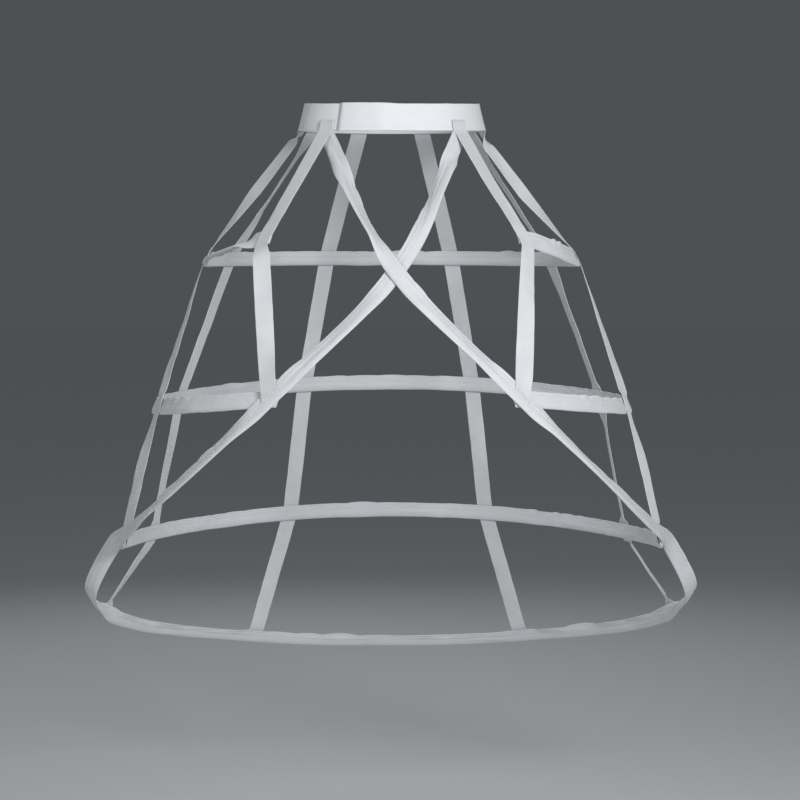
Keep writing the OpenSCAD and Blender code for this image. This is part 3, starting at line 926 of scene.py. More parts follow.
class Wardrobe:
    """Builds each finish once and hands out its material.

    Attributes:
        PATCH_SCALE: Fineness of the slow changes of tone in cloth, per metre.
        PATCH_DETAIL: How many finer changes lie on them.
        THREAD_SHARE: Share of the tone that the threads give.
        PATCH_SHARE: Share of the tone that the slow changes give.
        CLOTH_GLOSS: Specular level of cloth.
        GRAIN_SCALES: Fineness of the moulded grain and of its slow change of tone, per metre.
        GRAIN_SHARE: Strength of that change.
    """

    PATCH_SCALE: ClassVar[float] = 38.0
    PATCH_DETAIL: ClassVar[float] = 4.0
    # THREAD_SHARE: Share of the tone that the threads give, as painted light on raised threads and painted
    # shade between them.
    THREAD_SHARE: ClassVar[float] = 0.5
    PATCH_SHARE: ClassVar[float] = 0.7
    CLOTH_GLOSS: ClassVar[float] = 0.35
    GRAIN_SCALES: ClassVar[Pair] = (900.0, 25.0)
    GRAIN_SHARE: ClassVar[float] = 0.25

    def __init__(self) -> None:
        """Makes the two shared effects."""
        self._made: dict[Finish, Material] = {}
        self._weave = self._weave_group()
        self._grain = self._grain_group()

    @staticmethod
    def _math(group: NodeTree, operation: str, a: object, b: object = 0.0) -> NodeSocket:
        """The result of one calculation on numbers or sockets."""
        return add_node(group, "ShaderNodeMath", {0: a, 1: b}, operation=operation).outputs[0]

    def _weave_group(self) -> NodeTree:
        """Threads across and along the cloth, with slow changes of tone; raised threads are painted lighter
        and the gaps between them painted darker, as painted light and shade.

        Returns:
            The group.
        """
        numbers = dict.fromkeys(("Pitch", "Slant", "Rough low", "Rough high"), "Float")
        g, i, o = new_tree(
            "Woven cloth",
            "Shader",
            {"Light": "Color", "Shade": "Color", **numbers},
            {"Colour": "Color", "Height": "Float", "Roughness": "Float"},
        )
        given, calc = i.outputs, partial(self._math, g)
        coords = add_node(g, "ShaderNodeTexCoord").outputs
        split = add_node(g, "ShaderNodeSeparateXYZ", {0: coords["UV"]}).outputs
        across, along = (
            calc("MULTIPLY", calc("DIVIDE", place, given["Pitch"]), 2 * math.pi) for place in split[:2]
        )
        plain = calc("MULTIPLY", calc("SINE", across), calc("SINE", along))
        twill = calc("SINE", calc("ADD", across, along))
        rib = calc("MULTIPLY", calc("SUBTRACT", twill, plain), given["Slant"])
        thread = calc("ADD", calc("MULTIPLY", calc("ADD", plain, rib), 0.5), 0.5)
        noise = {"Scale": self.PATCH_SCALE, "Detail": self.PATCH_DETAIL, "Vector": coords["Object"]}
        patch = add_node(g, "ShaderNodeTexNoise", noise).outputs["Fac"]
        slow = calc("MULTIPLY", patch, self.PATCH_SHARE)
        # Painted shade between the threads and painted light on them, mixed with the slow random tone.
        tone = calc("ADD", calc("MULTIPLY", thread, self.THREAD_SHARE), slow)
        colours = {"Factor": tone, "A": given["Shade"], "B": given["Light"]}
        mix = add_node(g, "ShaderNodeMix", colours, data_type="RGBA")
        spread = calc("SUBTRACT", given["Rough high"], given["Rough low"])
        rough = calc("ADD", given["Rough low"], calc("MULTIPLY", spread, patch))
        fill(g, o, {"Colour": mix.outputs["Result"], "Height": thread, "Roughness": rough})
        return g

    def _grain_group(self) -> NodeTree:
        """Fine moulded grain with a slow change of tone.

        Returns:
            The group.
        """
        made = {"Colour": "Color", "Height": "Float"}
        g, i, o = new_tree("Moulded grain", "Shader", {"Base": "Color"}, made)
        place = add_node(g, "ShaderNodeTexCoord").outputs["Object"]
        noises = [{"Scale": scale, "Vector": place} for scale in self.GRAIN_SCALES]
        fine, slow = (add_node(g, "ShaderNodeTexNoise", noise) for noise in noises)
        colours = {"Factor": self.GRAIN_SHARE, "A": i.outputs["Base"], "B": slow.outputs["Color"]}
        mix = add_node(g, "ShaderNodeMix", colours, data_type="RGBA", blend_type="MULTIPLY")
        fill(g, o, {"Colour": mix.outputs["Result"], "Height": fine.outputs["Fac"]})
        return g

    def material(self, finish: Finish) -> Material:
        """The material of a finish.

        Args:
            finish: Which finish.

        Returns:
            The material, made on first use.
        """
        if finish in self._made:
            return self._made[finish]
        look = LOOKS[finish]
        m = bpy.data.materials.new(f"{finish.value}_finish")
        m.use_nodes = True
        tree, shader = m.node_tree, m.node_tree.nodes["Principled BSDF"]
        if isinstance(look, ClothLook):
            values = {
                "Light": (*look.light, 1.0),
                "Shade": (*look.shade, 1.0),
                "Pitch": look.pitch,
                "Slant": look.weave.value,
                "Rough low": look.rough[0],
                "Rough high": look.rough[1],
            }
            effect = add_node(tree, "ShaderNodeGroup", node_tree=self._weave)
            gloss = {"Roughness": effect.outputs["Roughness"], "Specular IOR Level": self.CLOTH_GLOSS}
            depth, gloss["Sheen Weight"] = look.bump, look.sheen
        else:
            values, gloss, depth = {"Base": (*look.colour, 1.0)}, {"Roughness": look.rough}, look.grain
            effect = add_node(tree, "ShaderNodeGroup", node_tree=self._grain)
        fill(tree, effect, values)
        relief = {"Strength": 1.0, "Distance": depth, "Height": effect.outputs["Height"]}
        bump = add_node(tree, "ShaderNodeBump", relief)
        surface = {"Base Color": effect.outputs["Colour"], "Normal": bump.outputs["Normal"]}
        fill(tree, shader, {**surface, **gloss})
        self._made[finish] = m
        return m


def woven_piece(name: str, rings: list[Array], around: list[Array], arc: Array, closed: bool) -> Object:
    """A closed mesh swept along a line, with its cloth laid out flat in a UV map.

    Args:
        name: Name of the piece.
        rings: One loop set for a strip, or outer and inner for a sleeve: rings by points by 3, in mm.
        around: Distance round each loop set, one more entry than points, in mm.
        arc: Distance of each ring along the line, in mm.
        closed: True for a strip that is filled at its ends, False for a sleeve that is rimmed.

    Returns:
        The piece, in metres.
    """
    n, m = rings[0].shape[:2]
    faces, uvs = [], []
    for k, u in enumerate(around):
        i, j = np.meshgrid(np.arange(n - 1), np.arange(m), indexing="ij")
        j2 = (j + 1) % m
        quad = np.stack([i * m + j, i * m + j2, (i + 1) * m + j2, (i + 1) * m + j], -1) + k * n * m
        uv = np.stack([np.stack([u[j], arc[i]], -1), np.stack([u[j + 1], arc[i]], -1)], 2)
        uv2 = np.stack([np.stack([u[j + 1], arc[i + 1]], -1), np.stack([u[j], arc[i + 1]], -1)], 2)
        quad, uv = quad.reshape(-1, 4), np.concatenate([uv, uv2], 2).reshape(-1, 4, 2)
        faces.append(quad[:, ::-1] if k else quad)
        uvs.append(uv[:, ::-1] if k else uv)
    for base, flip in ((0, False), ((n - 1) * m, True)):
        if closed:
            j = np.arange(m // 2 - 1)
            cap = np.stack([j, m - 1 - j, m - 2 - j, j + 1], -1) + base
        else:
            j = np.arange(m)
            j2 = (j + 1) % m
            cap = np.stack([j, j + n * m, j2 + n * m, j2], -1) + base
        pair = around[0][np.stack([j, j, j + 1, j + 1], -1)]
        uv = np.stack([pair, np.full(pair.shape, arc[-1] if flip else 0.0)], -1)
        faces.append(cap[:, ::-1] if flip else cap)
        uvs.append(uv[:, ::-1] if flip else uv)
    verts = np.concatenate([r.reshape(-1, 3) for r in rings]) * MM
    quads, flat = np.concatenate(faces), np.concatenate(uvs) * MM
    a, b, c, d = (verts[quads[:, k]] for k in range(4))
    if float((a * np.cross(b, c)).sum() + (a * np.cross(c, d)).sum()) < 0:
        quads, flat = quads[:, ::-1], flat[:, ::-1]
    mesh = bpy.data.meshes.new(name)
    mesh.from_pydata(verts.tolist(), [], quads.tolist())
    layer = mesh.uv_layers.new(name="Cloth")
    layer.data.foreach_set("uv", np.ascontiguousarray(flat, np.float32).ravel())
    mesh.shade_smooth()
    return placed(name, mesh)


def around_loop(section: Array) -> Array:
    """Distance round a loop of points, back to its start."""
    steps = np.linalg.norm(np.roll(section, -1, 0) - section, axis=1)
    return np.concatenate([[0.0], np.cumsum(steps)])


def doubled(across: Array, half: Array) -> Array:
    """The loop of a flat section: its front from low to high, then its back."""
    return np.concatenate([np.stack([across, half], 1), np.stack([across, -half], 1)[::-1]])


def strip(
    name: str,
    node: str,
    line: Path,
    across: Array,
    half: Array,
    finish: Material,
    lift: Array | None = None,
    skew: Array | float = 0.0,
) -> Object:
    """A flat strip along a line, in place of a solid.

    Args:
        name: Name of the piece.
        node: The solid that it stands for.
        line: Middle line.
        across: Places across the strip, for all rings or for each.
        half: Half thickness at each place.
        finish: Its material.
        lift: Offset outward at each ring and place.
        skew: Offset along the line at each ring and place.

    Returns:
        The piece, riding on its body.
    """
    shape = (len(line.points), np.shape(across)[-1])
    up, off = np.broadcast_to(across, shape), np.zeros(shape) if lift is None else lift
    thick = np.broadcast_to(half, shape)
    rings = line.loops(up, off + thick, off - thick, skew)
    middle = shape[0] // 2
    around = around_loop(doubled(up[middle], thick[middle]))
    piece = woven_piece(name, [rings], [around], line.arc(), True)
    piece.data.materials.append(finish)
    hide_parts(node)
    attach(piece, BODY)
    return piece


@dataclass
class Gathers:
    """Irregular gathers along a sewn edge.

    Attributes:
        length: Length of the edge.
        spacing: Usual distance between gathers.
        seed: Seed of the random order.
        at: Where each gather is.
        size: Size of each gather.
        slant: Slope of the fold that runs in from each gather.
        sign: Side to which the edge swells after each gather.
        STEPS: Least and greatest distance between gathers, in usual distances.
        SIZES: Least and greatest size.
        SLANTS: Least and greatest slope.
        REACH: How far the smallest fold runs in, and how much further the largest.
    """

    STEPS: ClassVar[Pair] = (0.45, 1.7)
    SIZES: ClassVar[Pair] = (0.25, 1.0)
    SLANTS: ClassVar[Pair] = (-0.9, 0.9)
    REACH: ClassVar[Pair] = (5.0, 14.0)

    length: float
    spacing: float
    seed: int
    at: Array = field(init=False)
    size: Array = field(init=False)
    slant: Array = field(init=False)
    sign: Array = field(init=False)

    def __post_init__(self) -> None:
        """Sets out the gathers."""
        rng = np.random.default_rng(self.seed)
        count = int(self.length / self.spacing * 1.6) + 8
        self.at = np.cumsum(self.spacing * rng.uniform(*self.STEPS, count)) - 3 * self.spacing
        self.size = rng.uniform(*self.SIZES, len(self.at))
        self.slant = rng.uniform(*self.SLANTS, len(self.at))
        self.sign = rng.choice([-1.0, 1.0], len(self.at))

    def _index(self, s: Array) -> Array:
        """Gather before each place."""
        return np.clip(np.searchsorted(self.at, s) - 1, 1, len(self.at) - 3)

    def scallop(self, s: Array) -> Array:
        """Swell of the edge between gathers.

        Args:
            s: Distance along the edge.

        Returns:
            0 at a gather and up to 1 between two.
        """
        k = self._index(s)
        t = (s - self.at[k]) / (self.at[k + 1] - self.at[k])
        return np.sin(np.pi * np.clip(t, 0, 1)) ** 0.8 * self.size[k]

    def wave(self, s: Array) -> Array:
        """Swell that changes sides from gather to gather, from -1 to 1."""
        return self.scallop(s) * self.sign[self._index(s)]

    def crease(self, s: Array, depth: Array, width: float) -> Array:
        """Folds that run in from each gather.

        Args:
            s: Distance along the edge.
            depth: Distance in from the edge.
            width: Width of a fold.

        Returns:
            Depth of the folds, from 0 to 1.
        """
        k, total = self._index(s), np.zeros(np.broadcast(s, depth).shape)
        for d in (-1, 0, 1, 2):
            g = k + d
            off = s - self.at[g] - self.slant[g] * depth
            fade = np.exp(-((depth / (self.REACH[0] + self.REACH[1] * self.size[g])) ** 2))
            total = np.maximum(total, self.size[g] * fade * np.exp(-((off / width) ** 2)))
        return total


@dataclass(frozen=True)
class Folds:
    """Long soft folds along a casing.

    Attributes:
        length: Length of the casing.
        spacing: Length of casing to each fold.
        seed: Seed of the random order.
        HALVES: Least and greatest half length of a fold.
        PLACES: Lowest and highest place across the casing.
        SLOPES: Least and greatest slope.
        WIDTHS: Least and greatest width.
        SIZES: Least and greatest height.
        SIGNS: Ridges and hollows, of which one is drawn for each fold.
        LIMITS: Deepest and highest place where folds meet.
    """

    HALVES: ClassVar[Pair] = (30.0, 95.0)
    PLACES: ClassVar[Pair] = (-9.5, 8.5)
    SLOPES: ClassVar[Pair] = (-0.14, 0.14)
    WIDTHS: ClassVar[Pair] = (1.8, 4.2)
    SIZES: ClassVar[Pair] = (0.35, 1.0)
    SIGNS: ClassVar[tuple[float, ...]] = (1.0, 1.0, -0.7)
    LIMITS: ClassVar[Pair] = (-0.8, 1.15)

    length: float
    spacing: float
    seed: int

    def relief(self, s: Array, u: Array) -> Array:
        """Height of the folds.

        Args:
            s: Distance along the casing, one row each.
            u: Distance across it, one column each.

        Returns:
            One height for each row and column.
        """
        rng = np.random.default_rng(self.seed)
        total = np.zeros((len(s), u.shape[1]))
        for _ in range(int(self.length / self.spacing)):
            middle, half = rng.uniform(0, self.length), rng.uniform(*self.HALVES)
            across, slope = rng.uniform(*self.PLACES), rng.uniform(*self.SLOPES)
            width, size = rng.uniform(*self.WIDTHS), rng.uniform(*self.SIZES) * rng.choice(self.SIGNS)
            near = np.abs(s[:, 0] - middle) < half
            d = s[near] - middle
            fade = np.cos(d / half * math.pi / 2) ** 2
            total[near] += size * fade * np.exp(-(((u - across - slope * d) / width) ** 2))
        return np.clip(total, *self.LIMITS)


@dataclass(frozen=True)
class Twist:
    """A stretch in which a casing and its bone turn about their own run.

    Attributes:
        start: Where it starts, in millimetres along the casing.
        peak: Where it has turned fully.
        hold: Where it starts to turn back.
        end: Where it ends.
        degrees: How far it turns.
        lift: Millimetres that it stands out meanwhile.
    """

    start: float
    peak: float
    hold: float
    end: float
    degrees: float
    lift: float = 0.0

    def weight(self, s: Array) -> Array:
        """Share of the turn along the casing."""
        rise = smooth((s - self.start) / (self.peak - self.start))
        return np.minimum(rise, smooth((self.end - s) / (self.end - self.hold)))


@dataclass(frozen=True)
class Drape:
    """How the cloth of a casing lies round its bone.

    Attributes:
        half_w: Half width of the casing.
        low_ups: Places across it at its folded edge.
        flat_ups: Lowest, highest and number of places over the bone.
        top_ups: Places across it at its gathered edge.
        top: Where the gathered edge starts, and its height.
        low: Where the folded edge starts, and its height.
        still: Distance from a sewn place within which nothing moves.
        calm: Distance over which movement then grows.
        slight: Share of the gathers where they are slight.
        grow: Distance over which they become full.
        firm: Share of the swell that is left at sewn places.
        even: Swell of the gathered edge at which its width is as cut.
        fold_apart: Distance between swells of the folded edge, in distances between gathers.
        tuck: How far the folded edge pulls in.
        sway: How far the casing waves with its folded edge.
        puff: Share by which its thickness changes.
        crease: Depth of the folds that run in from gathers.
        crease_w: Width of those folds.
        crease_firm: Share of them that is left at sewn places.
        fold_run: Length of casing to each long fold.
        corner: Length of the loose corner at a cut end.
        corner_up: How far that corner stands up.
        corner_out: How far it stands out.
        limp_fade: Distance over which an end without a bone becomes limp.
        shut: Distance over which a cut end closes.
        slant_run: Length over which the cloth is drawn to a slanting end, in slants.
        inside: Lowest and highest place of the inner wall.
        hollow: Least and greatest half thickness of the space inside.
        channel: Half width of the bone's channel.
        bone_end: Distance from each end at which the bone starts.
        bone_room: Half thickness of the cloth over the bone.
        cap_half: Half width of the cloth over a cap.
        cap_room: Half thickness of the cloth over a cap.
        cap_reach: Distance from a cap's middle within which the cloth makes room.
        cap_fade: Distance over which that room grows.
        thin: Half thickness of the cloth alone.
    """

    half_w: float = 12.3
    low_ups: tuple[float, ...] = (-12.3, -12.0, -11.4, -10.4)
    flat_ups: tuple[float, float, int] = (-9.0, 6.4, 11)
    top_ups: tuple[float, ...] = (7.5, 8.6, 9.8, 11.2, 12.3)
    top: Pair = (1.0, 11.0)
    low: Pair = (-4.0, 8.0)
    still: float = 13.0
    calm: float = 26.0
    slight: float = 0.35
    grow: float = 60.0
    firm: float = 0.3
    even: float = 0.55
    fold_apart: float = 2.1
    tuck: float = 0.6
    sway: float = 0.4
    puff: float = 0.14
    crease: float = 0.6
    crease_w: float = 2.6
    crease_firm: float = 0.4
    fold_run: float = 30.0
    corner: float = 11.0
    corner_up: float = 1.2
    corner_out: float = 0.8
    limp_fade: float = 10.0
    shut: float = 6.5
    slant_run: float = 2.6
    inside: Pair = (-11.2, 6.9)
    hollow: Pair = (0.05, 1.55)
    channel: float = 6.6
    bone_end: float = 7.0
    bone_room: float = 1.2
    cap_half: float = 7.6
    cap_room: float = 1.85
    cap_reach: float = 14.0
    cap_fade: float = 6.0
    thin: float = 0.14

    def ups(self) -> Array:
        """Places across the casing, as one row."""
        return np.concatenate([self.low_ups, np.linspace(*self.flat_ups), self.top_ups])[None]

    def room(self, line: Path, caps: list[Array], u: Array, boned: Array) -> Array:
        """Least half thickness that keeps the bone and its caps inside the cloth.

        Args:
            line: Middle line of the casing.
            caps: Middles of the caps.
            u: Places across the casing, as one row.
            boned: True for each ring at which the bone fills its channel.

        Returns:
            One half thickness for each ring and place.
        """
        s = line.arc()[:, None]
        least = np.where((np.abs(u) < self.channel) & boned, self.bone_room, self.thin)
        for cap in caps:
            near = smooth((self.cap_reach - np.abs(s - line.nearest_arc(cap))) / self.cap_fade)
            over_cap = np.where(np.abs(u) < self.cap_half, self.cap_room, self.thin)
            least = np.maximum(least, over_cap * near)
        return least


BONE_SECTION = both_edges(((0.0, 0.6), (5.2, 0.6), (5.8, 0.5), (6.0, 0.25)))


@dataclass
class CasingPiece:
    """A boned casing: folded at its lower edge, sewn and gathered along its upper edge.

    Attributes:
        name: Name of the hoop that it belongs to.
        path: Middle line.
        seed: Seed of its gathers.
        held: Places where it is sewn to other pieces.
        twists: Stretches in which it turns.
        pucker: Millimetres that the gathered edge swells.
        spacing: Usual distance between gathers.
        ruffle: Millimetres that the gathered edge waves in and out.
        slack: Height of its long folds.
        limp: Length without a bone at each end.
        flatten: Share by which it is thinner there.
        sink: How far it lies further in there.
        overrun: Length of cloth past each end of its solid.
        slant: How much shorter its lower edge is at each end.
        gathered: Where the gathers are full; they are slight before and after. None for the whole length.
        drape: How its cloth lies.
        step: Distance between its rings.
        wall: Thickness of its cloth.
        cut_w: Width of its strip of cloth before it is folded, in metres.
        section: Places across it, and its half thickness at each.
        unsteady_by: Least and greatest turn of each of its slow waves, in degrees.
        unsteady_over: Least and greatest length of such a wave.
        steady: Distance from a sewn place without such waves, and over which they grow.
        soften: Spread of the rounding of its line.
        seam_up: Height of the stitching along its channel.
        seam_out: Distance of that stitching from the middle.
        end_seam: Half height and distance outward of the stitching across an end.
        ridge_up: Height of the line at which tapes on it stop.
    """

    name: str
    path: Path
    seed: int
    held: list[Array]
    twists: tuple[Twist, ...] = ()
    pucker: float = 1.7
    spacing: float = 30.0
    ruffle: float = 1.9
    slack: float = 0.8
    limp: float = 0.0
    flatten: float = 0.62
    sink: float = 0.0
    overrun: float = 0.0
    slant: float = 0.0
    gathered: Pair | None = None
    drape: Drape = Drape()
    step: float = 3.4
    wall: float = 0.45
    cut_w: float = 0.048
    section: tuple[Pair, ...] = (
        *((-12.3, 0.2), (-11.9, 0.7), (-11.0, 1.4), (-9.4, 2.0), (-6.5, 2.4), (-3.4, 2.32), (-0.6, 1.9)),
        *((1.4, 1.4), (3.4, 1.26), (6.4, 1.22), (7.5, 0.5), (9.4, 0.46), (11.4, 0.52), (12.3, 0.4)),
    )
    unsteady_by: Pair = (0.6, 2.4)
    unsteady_over: Pair = (90.0, 320.0)
    steady: Pair = (14.0, 40.0)
    soften: float = 3.0
    seam_up: float = 7.6
    seam_out: float = 0.72
    end_seam: Pair = (10.0, 0.9)
    ridge_up: float = 2.4

    def caps(self) -> list[Array]:
        """Middles of the caps on the ends of its bone."""
        nodes = [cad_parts[f"{self.name}_tip_{side.value}"] for side in Side]
        return [np.mean([v.co for v in node.data.vertices], 0) / MM for node in nodes]

    def line(self) -> Path:
        """Middle line in even steps, slightly unsteady and twisted where the bone is.

        Returns:
            The line.
        """
        base = self.path
        if self.overrun:
            along, outs = base.frames()[0] * self.overrun, base.outs
            points = np.vstack([base.points[0] - along[0], base.points, base.points[-1] + along[-1]])
            base = Path(points, np.vstack([outs[0], outs, outs[-1]]))
        line = base.resampled(self.step, self.soften)
        s = line.arc()
        turn = unsteady(s, self.seed + 100, self.unsteady_by, self.unsteady_over)
        turn, lift = turn * line.quiet(self.held + self.caps(), *self.steady), np.zeros_like(s)
        for twist in self.twists:
            w = twist.weight(s)
            turn, lift = turn + twist.degrees * w, lift + twist.lift * w
        return Path(line.moved(0.0, lift), line.outs).rolled(turn)

    def build(self, wardrobe: Wardrobe) -> Object:
        """Makes the sleeve with its outer and inner wall.

        Args:
            wardrobe: Source of its finish.

        Returns:
            The sleeve, riding on its body.
        """
        line, d = self.line(), self.drape
        s, length, u = line.arc()[:, None], line.length(), d.ups()
        h = np.interp(u, *zip(*self.section))
        top, low = smooth((u - d.top[0]) / d.top[1]), smooth((d.low[0] - u) / d.low[1])
        far = np.minimum(s, s[-1] - s)
        free = line.quiet(self.held + self.caps(), d.still, d.calm)[:, None]

        # How far the gathered edge swells and leans, and the folded edge with it.
        edge = Gathers(length, self.spacing, self.seed)
        fold = Gathers(length, self.spacing * d.fold_apart, self.seed + 1)
        first, last = self.gathered or (-100.0, length + 100.0)
        full = at_least(d.slight, smooth((s - first) / d.grow) * smooth((last - s) / d.grow))
        limp = smooth(1 - (far - self.limp) / d.limp_fade)
        corner = smooth(1 - far / d.corner) * (self.overrun > 0)
        swell = self.pucker * full * (edge.scallop(s) - d.even) * top * at_least(d.firm, free)
        swell = swell - d.tuck * fold.scallop(s) * low * free + d.corner_up * corner * top
        lean = (self.ruffle * full * edge.wave(s) * top + d.sway * fold.wave(s)) * free
        lean = lean + d.corner_out * corner * top - self.sink * limp

        # Half thickness of the front and of the back, with room for the bone.
        puff = 1 + d.puff * (fold.scallop(s) - 0.4) * (1 - top) * free
        half = h * (1 - self.flatten * limp) * puff * at_least(0.1, smooth((far + 0.6) / d.shut))
        creases = edge.crease(s, d.half_w - u, d.crease_w) * d.crease
        creases = creases * (1 - 0.8 * low) * at_least(d.crease_firm, free)
        least = d.room(line, self.caps(), u, (limp < 0.05) & (far > d.bone_end))
        loose = self.slack * free * (1 - 0.5 * low)
        folds = [Folds(length, d.fold_run, self.seed + k).relief(s, u) for k in (2, 3)]
        front, back = (np.maximum(half + relief * loose - creases, least) for relief in folds)

        # Both walls, drawn to a slant at cut ends.
        pull = smooth(1 - far / (d.slant_run * self.slant + 0.01)) * np.sign(s - s[-1] / 2) * 0.5 * self.slant
        outer = line.loops(u + swell, lean + front, lean - back, pull * (u / d.half_w - 1))
        inner_u = np.interp(u[0], (-d.half_w, d.half_w), d.inside)
        inset = np.stack([np.interp(inner_u, u[0], row) for row in np.minimum(front, back)]) - self.wall
        inset = np.clip(inset, *d.hollow)
        shift = np.stack([np.interp(inner_u, u[0], row) for row in lean])
        across = np.broadcast_to(inner_u, inset.shape)
        inner = line.loops(across, shift + inset, shift - inset, pull * (inner_u[None] / d.half_w - 1))

        flat = [around_loop(doubled(u[0], h[0])), around_loop(doubled(inner_u, inset[len(inset) // 2]))]
        piece = woven_piece(f"{self.name}_casing_cloth", [outer, inner], flat, line.arc(), False)
        piece.data.materials.append(wardrobe.material(Finish.CASING))
        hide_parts(f"{self.name}_casing")
        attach(piece, BODY)
        return piece

    def bone(self, wardrobe: Wardrobe) -> Object:
        """Makes the flat bone, which turns with its casing.

        Args:
            wardrobe: Source of its finish.

        Returns:
            The bone, riding on its body.
        """
        line, name = self.line(), f"{self.name}_bone"
        ends = np.array([v.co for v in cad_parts[name].data.vertices]) / MM
        far = [line.nearest_arc(p) for p in ends]
        keep = (line.arc() >= min(far)) & (line.arc() <= max(far))
        line = Path(line.points[keep], line.outs[keep])
        piece = strip(f"{name}_strip", name, line, *BONE_SECTION, wardrobe.material(Finish.BONE))
        return piece

    def seams(self) -> list[Array]:
        """Lines of stitching: along the channel and across each end.

        Returns:
            The lines.
        """
        line = self.line()
        rows = [line.moved(self.seam_up, out) for out in (self.seam_out, -self.seam_out)]
        _, out, up = line.frames()
        half, off = self.end_seam
        heights = np.linspace(-half, half, 9)[:, None]
        for k in (2, len(line.points) - 3):
            rows.append(line.points[k] + up[k] * heights + out[k] * off)
        return rows

    def ridge(self, out: float) -> Array:
        """The line above the bone at which tapes on the casing stop, at a distance outward."""
        return self.line().moved(self.ridge_up, out)


TAPE_SECTION = both_edges(((0.0, 0.42), (0.45, 0.42), (0.75, 0.44), (0.9, 0.5), (0.97, 0.44), (1.0, 0.18)))


@dataclass
class TapePiece:
    """One twill tape.

    Attributes:
        name: Name of the piece and of the solid that it stands for.
        route: Its sewn places, on the right-hand side.
        side: Which side of the cage it is on.
        shapes: How it hangs between its sewn places.
        seed: Seed of its waves.
        rests_on: Pieces under it.
        cut: A line at which its lower end stops, or None for a square end.
        step: Distance between its rings.
        cut_w: Width of the tape, in metres.
        steady: Distance from a sewn place within which it lies flat, and over which it comes free.
        wave: Height of its slow waves.
        wave_by: Least and greatest share of one wave.
        wave_over: Least and greatest length of one wave.
        spacing: Usual distance between the waves of its edges.
        flutter: How far its edges wave.
        swell: How far its edges swell.
        cut_run: Length over which its lower end is drawn to its line.
        cut_drop: How far that end is pressed in.
        drop_run: Length over which it is pressed in.
        box_half: Half width of a sewn box.
        box_reach: Half height of the box on the band, and of those below.
        cut_seam: Half width of the row along a cut end, and how far up and in it is.
        seam_out: Distance of the stitching from the middle.
    """

    name: str
    route: TapeRoute
    side: Side
    shapes: list[SpanShape]
    seed: int
    rests_on: tuple[str, ...] = ()
    cut: Array | None = None
    step: float = 4.0
    cut_w: float = 0.025
    steady: Pair = (13.0, 30.0)
    wave: float = 0.35
    wave_by: Pair = (0.3, 1.0)
    wave_over: Pair = (70.0, 240.0)
    spacing: float = 42.0
    flutter: float = 0.5
    swell: float = 0.35
    cut_run: float = 75.0
    cut_drop: float = 1.0
    drop_run: float = 34.0
    box_half: float = 9.5
    box_reach: Pair = (6.0, 9.0)
    cut_seam: tuple[float, float, float] = (13.0, 4.0, 0.1)
    seam_out: float = 0.62

    def line(self) -> Path:
        """Middle line of the tape."""
        line = self.route.path(self.shapes, self.step)
        return line.mirrored() if self.side is Side.LEFT else line

    def held(self) -> list[Array]:
        """Middles of its sewn places, from the waist down."""
        return [np.mean([p for p, _ in group], 0) * self.side.flip for group in self.route.groups()]

    def build(self, wardrobe: Wardrobe) -> Object:
        """Makes the tape with its thicker woven edges.

        Args:
            wardrobe: Source of its finish.

        Returns:
            The tape, riding on its body.
        """
        line, (x, h) = self.line(), TAPE_SECTION
        s, length = line.arc()[:, None], line.length()
        free = line.quiet(self.held(), *self.steady)[:, None]
        wave = unsteady(s, self.seed, self.wave_by, self.wave_over)
        edge = Gathers(length, self.spacing, self.seed + 7)
        at_edge = smooth((np.abs(x) - 0.5) / 0.5)
        lift = (self.wave * wave * (x * x - 0.4) + self.flutter * edge.wave(s) * at_edge) * free
        outward = np.sign(x) * smooth((np.abs(x) - 0.6) / 0.4)
        ups = x * (self.route.layers.tape_w / 2) + self.swell * edge.scallop(s + 11) * outward * free
        skew = 0.0
        if self.cut is not None:
            tail = length - self.cut_run
            last = s[:, 0] > tail
            face = line.surface(ups, lift)[last]
            apart = np.linalg.norm(face[:, :, None] - self.cut[None, None], axis=3).min(2)
            stop = np.polyval(np.polyfit(x, s[last][apart.argmin(0), 0], 1), x)
            skew = np.maximum(s - tail, 0) * ((stop - tail) / self.cut_run - 1)[None]
            lift = lift - self.cut_drop * smooth((s - length + self.drop_run) / self.drop_run)
        finish = wardrobe.material(Finish.TAPE)
        piece = strip(f"{self.name}_cloth", self.name, line, ups, h, finish, lift, skew)
        return piece

    def seams(self) -> list[Array]:
        """A sewn box at each place where the tape is held, and a row along a cut end.

        Returns:
            The lines.
        """
        line, held = self.line(), self.held()
        along, out, up = line.frames()
        arc, rows, base = line.arc(), [], line.points + out * self.seam_out
        across = np.linspace(-self.box_half, self.box_half, 8)[:, None]
        for k, middle in enumerate(held if self.cut is None else held[:-1]):
            on = np.where(np.abs(arc - line.nearest_arc(middle)) <= self.box_reach[k > 0])[0]
            rows += [base[on] + up[on] * a for a in (-self.box_half, self.box_half)]
            rows += [base[j] + across * up[j] for j in (on[0], on[-1])]
        if self.cut is not None:
            apart = np.linalg.norm(line.points[:, None] - self.cut[None], axis=2).min(0)
            half, above, inward = self.cut_seam
            near = np.linalg.norm(self.cut - self.cut[apart.argmin()], axis=1) < half
            rows.append(self.cut[near] - along[-1] * above - out[-1] * inward)
        return rows


BAND_SECTION = both_edges(
    ((0.0, 0.6), (0.35, 0.6), (0.7, 0.62), (0.87, 0.66), (0.91, 0.92), (0.95, 0.9), (0.985, 0.72), (1.0, 0.3))
)


